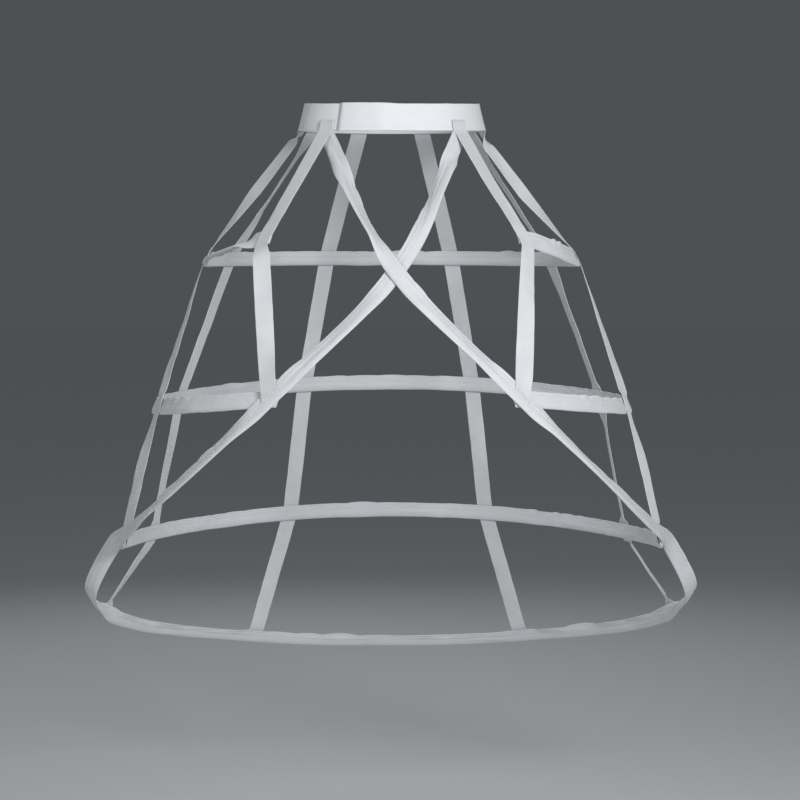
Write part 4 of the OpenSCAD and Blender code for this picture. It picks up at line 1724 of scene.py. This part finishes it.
@dataclass
class BandPiece:
    """The lapped waistband with its two sewn edges.

    Attributes:
        waist: Its oval and its lap.
        name: Name of the piece and of the solid that it stands for.
        seed: Seed of its creases.
        step: Distance between its rings.
        cut_w: Width of its strip, in metres.
        ease: Length at each end over which it lies flat.
        spacing: Usual distance between creases.
        wave: How far it waves between them.
        crease: Depth of the creases.
        crease_w: Width of the creases.
        crease_run: How far the creases count it from an edge to the middle.
        swell: How far its upper edge swells between them.
        tuck: How far the lower edge is tucked up at the inner end, and down at the outer.
        tuck_in: Length over which the inner end is tucked.
        tuck_out: Length over which the outer end is tucked, and over which that fades.
        seam_v: Height of the stitching along its edges, in half heights.
        seam_out: Distance of the stitching from the middle.
        lap_seam_out: The same for the stitching down the lap.
    """

    waist: Waist
    name: str = "waistband"
    seed: int = 5
    step: float = 3.0
    cut_w: float = 0.041
    ease: float = 25.0
    spacing: float = 38.0
    wave: float = 0.28
    crease: float = 0.35
    crease_w: float = 3.0
    crease_run: float = 12.0
    swell: float = 0.3
    tuck: float = 1.4
    tuck_in: float = 70.0
    tuck_out: Pair = (60.0, 25.0)
    seam_v: float = 0.8
    seam_out: float = 0.7
    lap_seam_out: float = 0.72

    def line(self) -> Path:
        """Middle line of the band."""
        return self.waist.path().resampled(self.step, 0.0)

    def build(self, wardrobe: Wardrobe) -> Object:
        """Makes the band with raised edges and a few soft creases.

        Args:
            wardrobe: Source of its finish.

        Returns:
            The band, riding on its body.
        """
        line, (v, h) = self.line(), BAND_SECTION
        s, length = line.arc()[:, None], line.length()
        ease = smooth(np.minimum(s, s[-1] - s) / self.ease)
        fold = Gathers(length, self.spacing, self.seed)
        creases = fold.crease(s, (1 + v[None]) * self.crease_run, self.crease_w)
        lift = self.wave * fold.wave(s) * (1 - 0.5 * v * v) * ease - self.crease * creases * ease
        ups = v * self.waist.height / 2
        ups = ups + self.swell * fold.scallop(s + 20) * smooth((v - 0.6) / 0.4) * ease
        inner = smooth(1 - (s[-1] - s) / self.tuck_in)
        outer = smooth(1 - (s - self.tuck_out[0]) / self.tuck_out[1])
        ups = ups + smooth(-v) * (self.tuck * inner - self.tuck * outer)
        piece = strip(f"{self.name}_cloth", self.name, line, ups, h, wardrobe.material(Finish.BAND), lift)
        return piece

    def seams(self) -> list[Array]:
        """Lines of stitching along both edges and down the edge of the lap.

        Returns:
            The lines.
        """
        line, up_by = self.line(), self.seam_v * self.waist.height / 2
        rows = [line.moved(a, b) for a in (-up_by, up_by) for b in (self.seam_out, -self.seam_out)]
        _, out, up = line.frames()
        heights = np.linspace(-up_by, up_by, 14)[:, None]
        for k in (1, 2):
            rows.append(line.points[k] + up[k] * heights + out[k] * self.lap_seam_out)
        return rows


class SewingKit:
    """Stitches and closure pile, laid by geometry nodes.

    Attributes:
        STITCH: Sizes of the stitches, in metres.
        PILE: Pieces of pile to a square metre, and their sizes in metres.
        SWEEPS: Degrees that a loop and a hook bend.
        PILE_SEED: Seed of the pile.
        STRIP: Half width of a closure strip, places across it, and half its thickness without pile.
        STRIP_SINK: How far that strip lies back from its middle, so that its pile has room.
        FACING: How well a face has to face the pile's side to carry pile, from 0 to 1.
    """

    STITCH: ClassVar[dict[str, float]] = {
        "Pitch": 0.0036,
        "Stitch length": 0.0028,
        "Thread radius": 0.00026,
        "Wander": 0.00012,
    }
    PILE: ClassVar[dict[str, float]] = {"Density": 420000.0, "Radius": 0.00032, "Strand": 0.00009}
    SWEEPS: ClassVar[Pair] = (180.0, 130.0)
    PILE_SEED: ClassVar[int] = 3
    STRIP: ClassVar[tuple[float, int, float]] = (12.5, 9, 0.42)
    STRIP_SINK: ClassVar[float] = 0.12
    FACING: ClassVar[float] = 0.7

    def __init__(self, wardrobe: Wardrobe) -> None:
        """Builds the two trees.

        Args:
            wardrobe: Source of the thread and pile finishes.
        """
        self.wardrobe = wardrobe
        self._stitch = self._stitch_tree()
        self._pile = self._pile_tree()

    @staticmethod
    def _tree(name: str, sizes: tuple[str, ...], material: str) -> tuple[NodeTree, Node, Node]:
        """A tree with named sizes, a seed and a material beside its geometry."""
        kinds = {"Geometry": "Geometry", **dict.fromkeys(sizes, "Float"), "Seed": "Int", material: "Material"}
        return new_tree(name, "Geometry", kinds, {"Geometry": "Geometry"})

    @staticmethod
    def _spread(tree: NodeTree, size: NodeSocket, seed: NodeSocket) -> NodeSocket:
        """Random vectors between minus and plus a size.

        Args:
            tree: Where they are drawn.
            size: Socket of the size.
            seed: Socket of the seed.

        Returns:
            The socket that holds the vectors.
        """
        low = add_node(tree, "ShaderNodeMath", {0: size, 1: -1.0}, operation="MULTIPLY")
        limits = {"Min": low.outputs[0], "Max": size, "Seed": seed}
        return add_node(tree, "FunctionNodeRandomValue", limits, data_type="FLOAT_VECTOR").outputs["Value"]

    def _stitch_tree(self) -> NodeTree:
        """Short thread stitches in a row along every line.

        Returns:
            The tree.
        """
        tree, i, o = self._tree("Stitch rows", tuple(self.STITCH), "Thread")
        given, node = i.outputs, partial(add_node, tree)
        curve = node("GeometryNodeMeshToCurve", {"Mesh": given["Geometry"]})
        row = {"Curve": curve.outputs["Curve"], "Length": given["Pitch"]}
        points = node("GeometryNodeCurveToPoints", row, mode="LENGTH").outputs
        wander = self._spread(tree, given["Wander"], given["Seed"])
        place = node("GeometryNodeSetPosition", {"Geometry": points["Points"], "Offset": wander})
        bead = node("GeometryNodeMeshUVSphere", {"Segments": 6, "Rings": 4, "Radius": 1.0})
        half = node("ShaderNodeMath", {0: given["Stitch length"], 1: 0.5}, operation="MULTIPLY")
        radius = given["Thread radius"]
        size = node("ShaderNodeCombineXYZ", {"X": radius, "Y": radius, "Z": half.outputs[0]})
        stitch = {"Instance": bead.outputs["Mesh"], "Rotation": points["Rotation"], "Scale": size.outputs[0]}
        lay = node("GeometryNodeInstanceOnPoints", {"Points": place.outputs["Geometry"], **stitch})
        self._end(tree, lay.outputs["Instances"], given["Thread"], o)
        return tree

    def _pile_tree(self) -> NodeTree:
        """Small loops or hooks that stand on the pile faces of a strip.

        Returns:
            The tree.
        """
        tree, i, o = self._tree("Closure pile", (*self.PILE, "Sweep"), "Pile")
        given, node = i.outputs, partial(add_node, tree)
        faces = node("GeometryNodeInputNamedAttribute", {"Name": "pile"}, data_type="BOOLEAN")
        ground = {"Mesh": given["Geometry"], "Selection": faces.outputs["Attribute"]}
        thick = {"Density": given["Density"], "Seed": given["Seed"]}
        points = node("GeometryNodeDistributePointsOnFaces", {**ground, **thick}).outputs
        bow = {"Resolution": 6, "Radius": given["Radius"], "Sweep Angle": given["Sweep"]}
        arc = node("GeometryNodeCurveArc", bow).outputs["Curve"]
        round_strand = {"Resolution": 3, "Radius": given["Strand"]}
        profile = node("GeometryNodeCurvePrimitiveCircle", round_strand).outputs["Curve"]
        strand = node("GeometryNodeCurveToMesh", {"Curve": arc, "Profile Curve": profile}).outputs["Mesh"]
        upright = {"Geometry": strand, "Rotation": (math.pi / 2, 0, 0)}
        stand = node("GeometryNodeTransform", upright).outputs["Geometry"]
        sown = {"Points": points["Points"], "Instance": stand, "Rotation": points["Rotation"]}
        lay = node("GeometryNodeInstanceOnPoints", sown).outputs["Instances"]
        turn = node("FunctionNodeRandomValue", {3: 2 * math.pi, "Seed": given["Seed"]}).outputs[1]
        about = node("ShaderNodeCombineXYZ", {"Z": turn}).outputs[0]
        spin = node("GeometryNodeRotateInstances", {"Instances": lay, "Rotation": about}).outputs["Instances"]
        join = node("GeometryNodeJoinGeometry", {0: spin})
        fill(tree, join, {0: given["Geometry"]})
        self._end(tree, join.outputs[0], given["Pile"], o)
        return tree

    @staticmethod
    def _end(tree: NodeTree, made: NodeSocket, material: NodeSocket, output: Node) -> None:
        """Turns instances into mesh and gives them their material.

        Args:
            tree: The tree that ends here.
            made: Socket of its geometry.
            material: Socket of its material.
            output: Its output node.
        """
        real = add_node(tree, "GeometryNodeRealizeInstances", {0: made}).outputs[0]
        soft = add_node(tree, "GeometryNodeSetShadeSmooth", {"Geometry": real}).outputs[0]
        dress = add_node(tree, "GeometryNodeSetMaterial", {"Geometry": soft, "Material": material})
        fill(tree, output, {"Geometry": dress.outputs[0]})

    @staticmethod
    def _grown(name: str, mesh: Mesh, tree: NodeTree, values: dict) -> Object:
        """Runs a tree on a mesh and returns the result as a plain piece.

        Args:
            name: Name of the piece.
            mesh: What the tree starts from.
            tree: The tree.
            values: Value of each named input.

        Returns:
            The piece.
        """
        source = placed(name + "_source", mesh)
        modifier = source.modifiers.new("grow", "NODES")
        modifier.node_group = tree
        for item in tree.interface.items_tree:
            if item.in_out == "INPUT" and item.name in values:
                modifier[item.identifier] = values[item.name]
        bpy.context.view_layer.update()
        graph = bpy.context.evaluated_depsgraph_get()
        grown = bpy.data.meshes.new_from_object(source.evaluated_get(graph))
        bpy.data.objects.remove(source)
        return placed(name, grown)

    def sew(self, name: str, rows: list[Array], slot: str, seed: int) -> Object:
        """Lays stitches along lines.

        Args:
            name: Name of the piece.
            rows: Lines in millimetres.
            slot: The record's material slot; not used.
            seed: Seed of the random order.

        Returns:
            The stitches as one piece.
        """
        verts, edges = [], []
        for row in rows:
            edges += [(len(verts) + k, len(verts) + k + 1) for k in range(len(row) - 1)]
            verts += (row * MM).tolist()
        mesh = bpy.data.meshes.new(name + "_lines")
        mesh.from_pydata(verts, edges, [])
        values = {**self.STITCH, "Seed": seed, "Thread": self.wardrobe.material(Finish.THREAD)}
        piece = self._grown(name, mesh, self._stitch, values)
        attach(piece, BODY)
        return piece

    def closure(self, name: str, path: Path, hooked: bool) -> Object:
        """One closure strip with its pile.

        Args:
            name: Name of the piece and of the solid that it stands for.
            path: Middle line of the strip.
            hooked: True for hooks, False for loops.

        Returns:
            The strip.
        """
        facing = -1.0 if hooked else 1.0
        finish, out = Finish.HOOK if hooked else Finish.LOOP, path.frames()[1]
        half_w, places, thick = self.STRIP
        x = np.broadcast_to(np.linspace(-half_w, half_w, places), (len(out), places))
        h, shift = np.full(x.shape, thick), np.full(x.shape, -self.STRIP_SINK * facing)
        rings = path.loops(x, shift + h, shift - h)
        base = woven_piece(name + "_base", [rings], [around_loop(doubled(x[0], h[0]))], path.arc(), True)
        mesh = base.data
        normals = np.array([p.normal for p in mesh.polygons])
        front = normals @ out[len(out) // 2] * facing > self.FACING
        mesh.attributes.new("pile", "BOOLEAN", "FACE").data.foreach_set("value", front.tolist())
        values = {
            **self.PILE,
            "Sweep": math.radians(self.SWEEPS[hooked]),
            "Seed": self.PILE_SEED,
            "Pile": self.wardrobe.material(finish),
        }
        bpy.data.objects.remove(base)
        piece = self._grown(name + "_pile", mesh, self._pile, values)
        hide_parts(name)
        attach(piece, BODY)
        return piece


@dataclass
class CrinolineCage:
    """All pieces of the cage, in the order in which they are sewn.

    Attributes:
        waist: Oval of the band and its lap.
        layers: Sizes of the sewn layers.
        side_turn: Degrees that the hem casing turns at the sides of the cage.
        sewn_turn: Degrees that it is turned where a rear side tape is sewn to it.
        over_end: How much further out a front tape is at the band, over the casing's end.
        cut_out: Distance outward of the line at which the front tapes stop.
        closure_half: Half the thickness of a closure strip with its pile.
        closure_share: Share of the lap that a closure strip covers.
        LOWER_SIDES: Straight sides in a whole turn of the lower hoop's solid.
        TAPE_SEED: Seed of the tapes.
        BAND_STITCH_SEED: Seed of the band's stitches.
        TAPE_STITCH_SEED: Seed of the tapes' stitches.
    """

    LOWER_SIDES: ClassVar[int] = 68
    TAPE_SEED: ClassVar[int] = 60
    BAND_STITCH_SEED: ClassVar[int] = 1
    TAPE_STITCH_SEED: ClassVar[int] = 9

    waist: Waist = field(default_factory=Waist)
    layers: Layers = field(default_factory=Layers)
    side_turn: float = -76.0
    sewn_turn: float = -28.7
    over_end: float = 1.2
    cut_out: float = 2.9
    closure_half: float = 0.6
    closure_share: float = 0.8

    def routes(self) -> dict[TapeSort, TapeRoute]:
        """Sewn places of the four sorts of tape, on the right-hand side.

        Returns:
            A route for each sort.
        """
        y, w = self.layers, self.waist
        hem = HemLine(w, y)
        on_band, on_casing = w.thickness / 2 + y.gap + y.tape_t / 2, y.casing_to_tape
        # A tape on the inner face of the lower hoop stays clear of its straight-sided solid.
        sag = HOOP_3.half_w * (1 - math.cos(math.pi / self.LOWER_SIDES))
        places = {
            sort: [hoop.place(a) for hoop, a in zip((HOOP_1, HOOP_2, HOOP_3), angles[1:])]
            for sort, angles in TAPE_ANGLES.items()
        }
        places[TapeSort.REAR_SIDE].append(hem.place(hem.REAR_STOP, self.sewn_turn))
        places[TapeSort.BACK].append(hem.place(hem.BACK_STOP))
        front = {"end_lift": on_casing + y.casing_to_casing, "slip": (14.0, 8.0, 1.0)}
        ends = {
            TapeSort.FRONT: {"start_lift": on_band + self.over_end, **front},
            TapeSort.SIDE: {"start_lift": on_band, "end_lift": -on_casing - sag, "tail": 5.0, "head": 7.0},
            TapeSort.REAR_SIDE: {"start_lift": on_band, "end_lift": on_casing, "tail": 8.0},
            TapeSort.BACK: {"start_lift": on_band, "end_lift": on_casing},
        }
        return {sort: TapeRoute(w, y, TAPE_ANGLES[sort][0], places[sort], **ends[sort]) for sort in TapeSort}

    def hem_twists(self, at: list[float]) -> tuple[Twist, ...]:
        """Turns of the hem casing between its sewn places.

        Args:
            at: Distance along it of each of its stops.

        Returns:
            The turns, from its left end at the waist to its right end.
        """
        return (
            Twist(at[0] + 42, at[0] + 130, at[0] + 215, at[1] - 8, degrees=56, lift=6),
            Twist(at[1] + 25, at[1] + 80, at[2] - 90, at[2] - 30, degrees=16, lift=1),
            Twist(at[2] + 18, at[2] + 70, at[2] + 100, at[3] - 50, degrees=27, lift=2),
            Twist(at[3] - 45, at[4] + 55, at[5] + 50, at[6] + 45, self.side_turn),
            Twist(at[10] - 45, at[11] - 50, at[12] - 30, at[13] + 50, self.side_turn),
            Twist(at[13] + 60, at[13] + 130, at[14] - 90, at[14] - 22, degrees=21, lift=2),
            Twist(at[14] + 30, at[14] + 90, at[15] - 80, at[15] - 25, degrees=16, lift=1),
            Twist(at[16] - 235, at[16] - 130, at[16] - 90, at[16] - 42, degrees=52, lift=3),
        )

    def casings(self) -> list[CasingPiece]:
        """The four boned casings.

        Returns:
            The three hoops from the top down, and the hem.
        """
        y = self.layers
        hem = HemLine(self.waist, y)
        tape_places = [place[0] for route in self.routes().values() for place in route.places]
        sewn = [point * flip for point in tape_places for flip in (np.ones(3), MIRROR)]
        stops = [stop[0] for stop in hem.stops()]
        line, top = hem.path(), HOOP_1.path(y.tape_w / 2)
        at, far = [line.nearest_arc(p) for p in stops], top.length()
        top_twists = (
            Twist(20, 46, 150, 220, degrees=-18),
            Twist(far - 215, far - 130, far - 56, far - 14, degrees=60),
        )
        middle, lower = HOOP_2.path(y.casing_w / 2), HOOP_3.path(y.tape_w / 2 - y.margin)
        held, turns = [stops[k] for k in hem.SEWN_STOPS], self.hem_twists(at)
        loose = {"pucker": 3.6, "spacing": 46.0, "ruffle": 4.0, "limp": 17.0, "flatten": 0.75, "sink": 1.55}
        return [
            CasingPiece("hoop_1", top, 11, sewn, top_twists, overrun=9.0, slant=5.0),
            CasingPiece("hoop_2", middle, 23, sewn, overrun=4.0, slant=8.0),
            CasingPiece("hoop_3", lower, 31, sewn, overrun=6.0, slant=5.0),
            CasingPiece("hem", line, 47, held, turns, gathered=(at[5], at[11]), **loose),
        ]

    def tapes(self) -> list[TapePiece]:
        """The four mirrored pairs of tapes.

        Returns:
            The tapes, from the front to the back.
        """
        span = SpanShape
        shapes = {
            (TapeSort.FRONT, Side.LEFT): [span(), span(roll=-32, peak=0.12)],
            (TapeSort.FRONT, Side.RIGHT): [span(sway=-3, peak=0.6), span(roll=-24, peak=0.8, hold=0.9)],
            (TapeSort.SIDE, Side.LEFT): [
                span(roll=-53, peak=0.1, taper=True),
                span(roll=-10, peak=0.88, hold=0.95, ramp=True),
                span(bow=4, roll=-23, peak=0.42, hold=0.93),
            ],
            (TapeSort.SIDE, Side.RIGHT): [
                span(bow=-7, roll=-58, peak=0.12, taper=True),
                span(roll=-14, peak=0.88, hold=0.95, ramp=True),
                span(bow=4, roll=-20, peak=0.42, hold=0.9),
            ],
            (TapeSort.REAR_SIDE, Side.LEFT): [
                span(roll=-26, peak=0.25),
                span(),
                span(roll=-8, peak=0.9, hold=0.95),
                span(roll=-17, peak=0.93, hold=0.96, ramp=True),
            ],
            (TapeSort.REAR_SIDE, Side.RIGHT): [
                span(roll=-20, peak=0.25, hold=0.9),
                span(roll=-14, peak=0.3, hold=0.93),
                span(roll=-24, peak=0.2, hold=0.95),
                span(roll=-34, peak=0.06, hold=0.9),
            ],
        }
        casings, made = self.casings(), []
        stop = casings[-1].ridge(self.cut_out)
        for k, (sort, route) in enumerate(self.routes().items()):
            under = tuple(f"{casing.name}_casing" for casing in casings[: len(route.places)])
            for side in Side:
                hang = shapes.get((sort, side), [span()] * len(route.places))
                name, seed = f"tape_{sort.value}_{side.value}", self.TAPE_SEED + 2 * k + (side is Side.LEFT)
                cut = stop if sort is TapeSort.FRONT else None
                made.append(TapePiece(name, route, side, hang, seed, under, cut))
        return made

    def build(self, wardrobe: Wardrobe) -> None:
        """Makes every piece and reports it.

        Args:
            wardrobe: Source of the finishes.
        """
        kit, band, w = SewingKit(wardrobe), BandPiece(self.waist), self.waist
        report(band.build(wardrobe))
        report(kit.sew("waistband_stitches", band.seams(), "band_fabric", self.BAND_STITCH_SEED))
        rise, share = w.thickness / 2 + self.layers.gap + self.closure_half, self.closure_share
        report(kit.closure("closure_loop_strip", w.lap_path(rise, share), False))
        report(kit.closure("closure_hook_strip", w.lap_path(w.lap_lift - rise, share), True))
        for casing in self.casings():
            report(casing.bone(wardrobe))
            report(casing.build(wardrobe))
            report(kit.sew(f"{casing.name}_stitches", casing.seams(), "casing_fabric", casing.seed))
        rows = []
        for tape in self.tapes():
            report(tape.build(wardrobe))
            rows += tape.seams()
        report(kit.sew("tape_stitches", rows, "tape_fabric", self.TAPE_STITCH_SEED))
        for name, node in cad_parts.items():
            if "_tip_" in name:
                node.data.materials.clear()
                node.data.materials.append(wardrobe.material(Finish.TIP))
                LOG.info("dressed %s", name)


@dataclass(frozen=True)
class Lamp:
    """One soft square lamp.

    Attributes:
        name: Its name.
        place: Where it stands, in metres.
        size: Length of its side in metres.
        power: Its power in watts.
        spread: Degrees over which it shines.
        target: What it points at, the middle of the cage.
    """

    name: str
    place: tuple[float, float, float]
    size: float
    power: float
    spread: float = 110.0
    target: tuple[float, float, float] = (0.0, 0.0, -0.35)

    def build(self) -> None:
        """Puts the lamp in its place."""
        data = bpy.data.lights.new(self.name, "AREA")
        data.shape, data.size, data.energy = "SQUARE", self.size, self.power
        data.spread = math.radians(self.spread)
        lamp = placed(self.name, data)
        lamp.location = self.place
        lamp.rotation_euler = (Vector(self.target) - Vector(self.place)).to_track_quat("-Z", "Y").to_euler()


@dataclass
class Studio:
    """Floor, soft light and camera.

    Attributes:
        distance: Metres from the waist to the camera.
        height: Height of the camera against the waist.
        pitch: Degrees that the camera looks down.
        turn: Degrees that it stands to the cage's side.
        aside: Metres that it is moved to its right.
        focal: Pixels of focal length in a frame of 800 pixels.
        floor: Height of the floor.
        floor_half: Half the length of the floor's side.
        floor_colour: Colour of the floor.
        floor_rough: Roughness of the floor.
        sky: Colour of the light from all round.
        ground: Colour of the background that is seen.
        lamps: The lamps.
    """

    distance: float = 4.2
    height: float = -0.213
    pitch: float = 2.862
    turn: float = -1.3
    aside: float = 0.012
    focal: float = 2800.0
    floor: float = -1.06
    floor_half: float = 30.0
    floor_colour: Paint = (0.6, 0.605, 0.615, 1)
    floor_rough: float = 0.9
    sky: Paint = (0.125, 0.128, 0.135, 1)
    ground: Paint = (0.078, 0.08, 0.085, 1)
    lamps: tuple[Lamp, ...] = (
        Lamp("key", (1.1, -2.4, 0.6), size=0.9, power=21.5),
        Lamp("fill", (-2.4, -2.2, 0.3), size=1.6, power=10.5),
        Lamp("back", (-0.6, 3.2, 1.4), size=1.8, power=12.0),
    )

    def camera(self) -> None:
        """Sets the camera at the photograph's angle."""
        data = bpy.data.cameras.new("camera")
        data.sensor_width, data.lens = 36.0, 36.0 * self.focal / 800
        data.clip_end = 100.0
        cam = placed("camera", data)
        turned = Matrix.Rotation(math.radians(self.turn), 4, "Z")
        cam.location = turned @ Vector((self.aside, -self.distance, self.height))
        cam.rotation_euler = (math.radians(90 - self.pitch), 0, math.radians(self.turn))
        bpy.context.scene.camera = cam

    def ground_plane(self) -> None:
        """Makes the plain floor."""
        r, mesh = self.floor_half, bpy.data.meshes.new("floor")
        corners = [(x * r, y * r, self.floor) for x, y in ((-1, -1), (1, -1), (1, 1), (-1, 1))]
        mesh.from_pydata(corners, [], [(0, 1, 2, 3)])
        floor = placed("floor", mesh)
        paint = bpy.data.materials.new("floor_paint")
        paint.use_nodes = True
        tree, look = paint.node_tree, {"Base Color": self.floor_colour, "Roughness": self.floor_rough}
        fill(tree, tree.nodes["Principled BSDF"], look)
        mesh.materials.append(paint)

    def surround(self) -> None:
        """Makes the light from all round and the plain background."""
        world = bpy.data.worlds.new("studio")
        bpy.context.scene.world = world
        world.use_nodes = True
        tree = world.node_tree
        sky, seen = tree.nodes["Background"], add_node(tree, "ShaderNodeBackground", {"Color": self.ground})
        fill(tree, sky, {"Color": self.sky})
        rays = add_node(tree, "ShaderNodeLightPath").outputs
        plain = rays["Is Camera Ray"]
        for kind in ("Is Glossy Ray", "Is Transmission Ray"):
            either = add_node(tree, "ShaderNodeMath", {0: plain, 1: rays[kind]}, operation="MAXIMUM")
            plain = either.outputs[0]
        mix = add_node(tree, "ShaderNodeMixShader", {0: plain, 1: sky.outputs[0], 2: seen.outputs[0]})
        fill(tree, tree.nodes["World Output"], {"Surface": mix.outputs[0]})

    def build(self) -> None:
        """Makes the floor, the lamps, the world and the camera."""
        self.ground_plane()
        for lamp in self.lamps:
            lamp.build()
        self.surround()
        bpy.context.scene.view_settings.view_transform = "Standard"
        self.camera()


def report(piece: Object) -> None:
    """Logs one finished piece."""
    LOG.info("made %s with %d faces", piece.name, len(piece.data.polygons))


def main() -> None:
    """Builds the cage and its studio."""
    logging.basicConfig(level=logging.INFO, format="%(name)s: %(message)s")
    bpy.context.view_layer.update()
    wardrobe = Wardrobe()
    CrinolineCage().build(wardrobe)
    Studio().build()


if __name__ == "__main__":
    main()
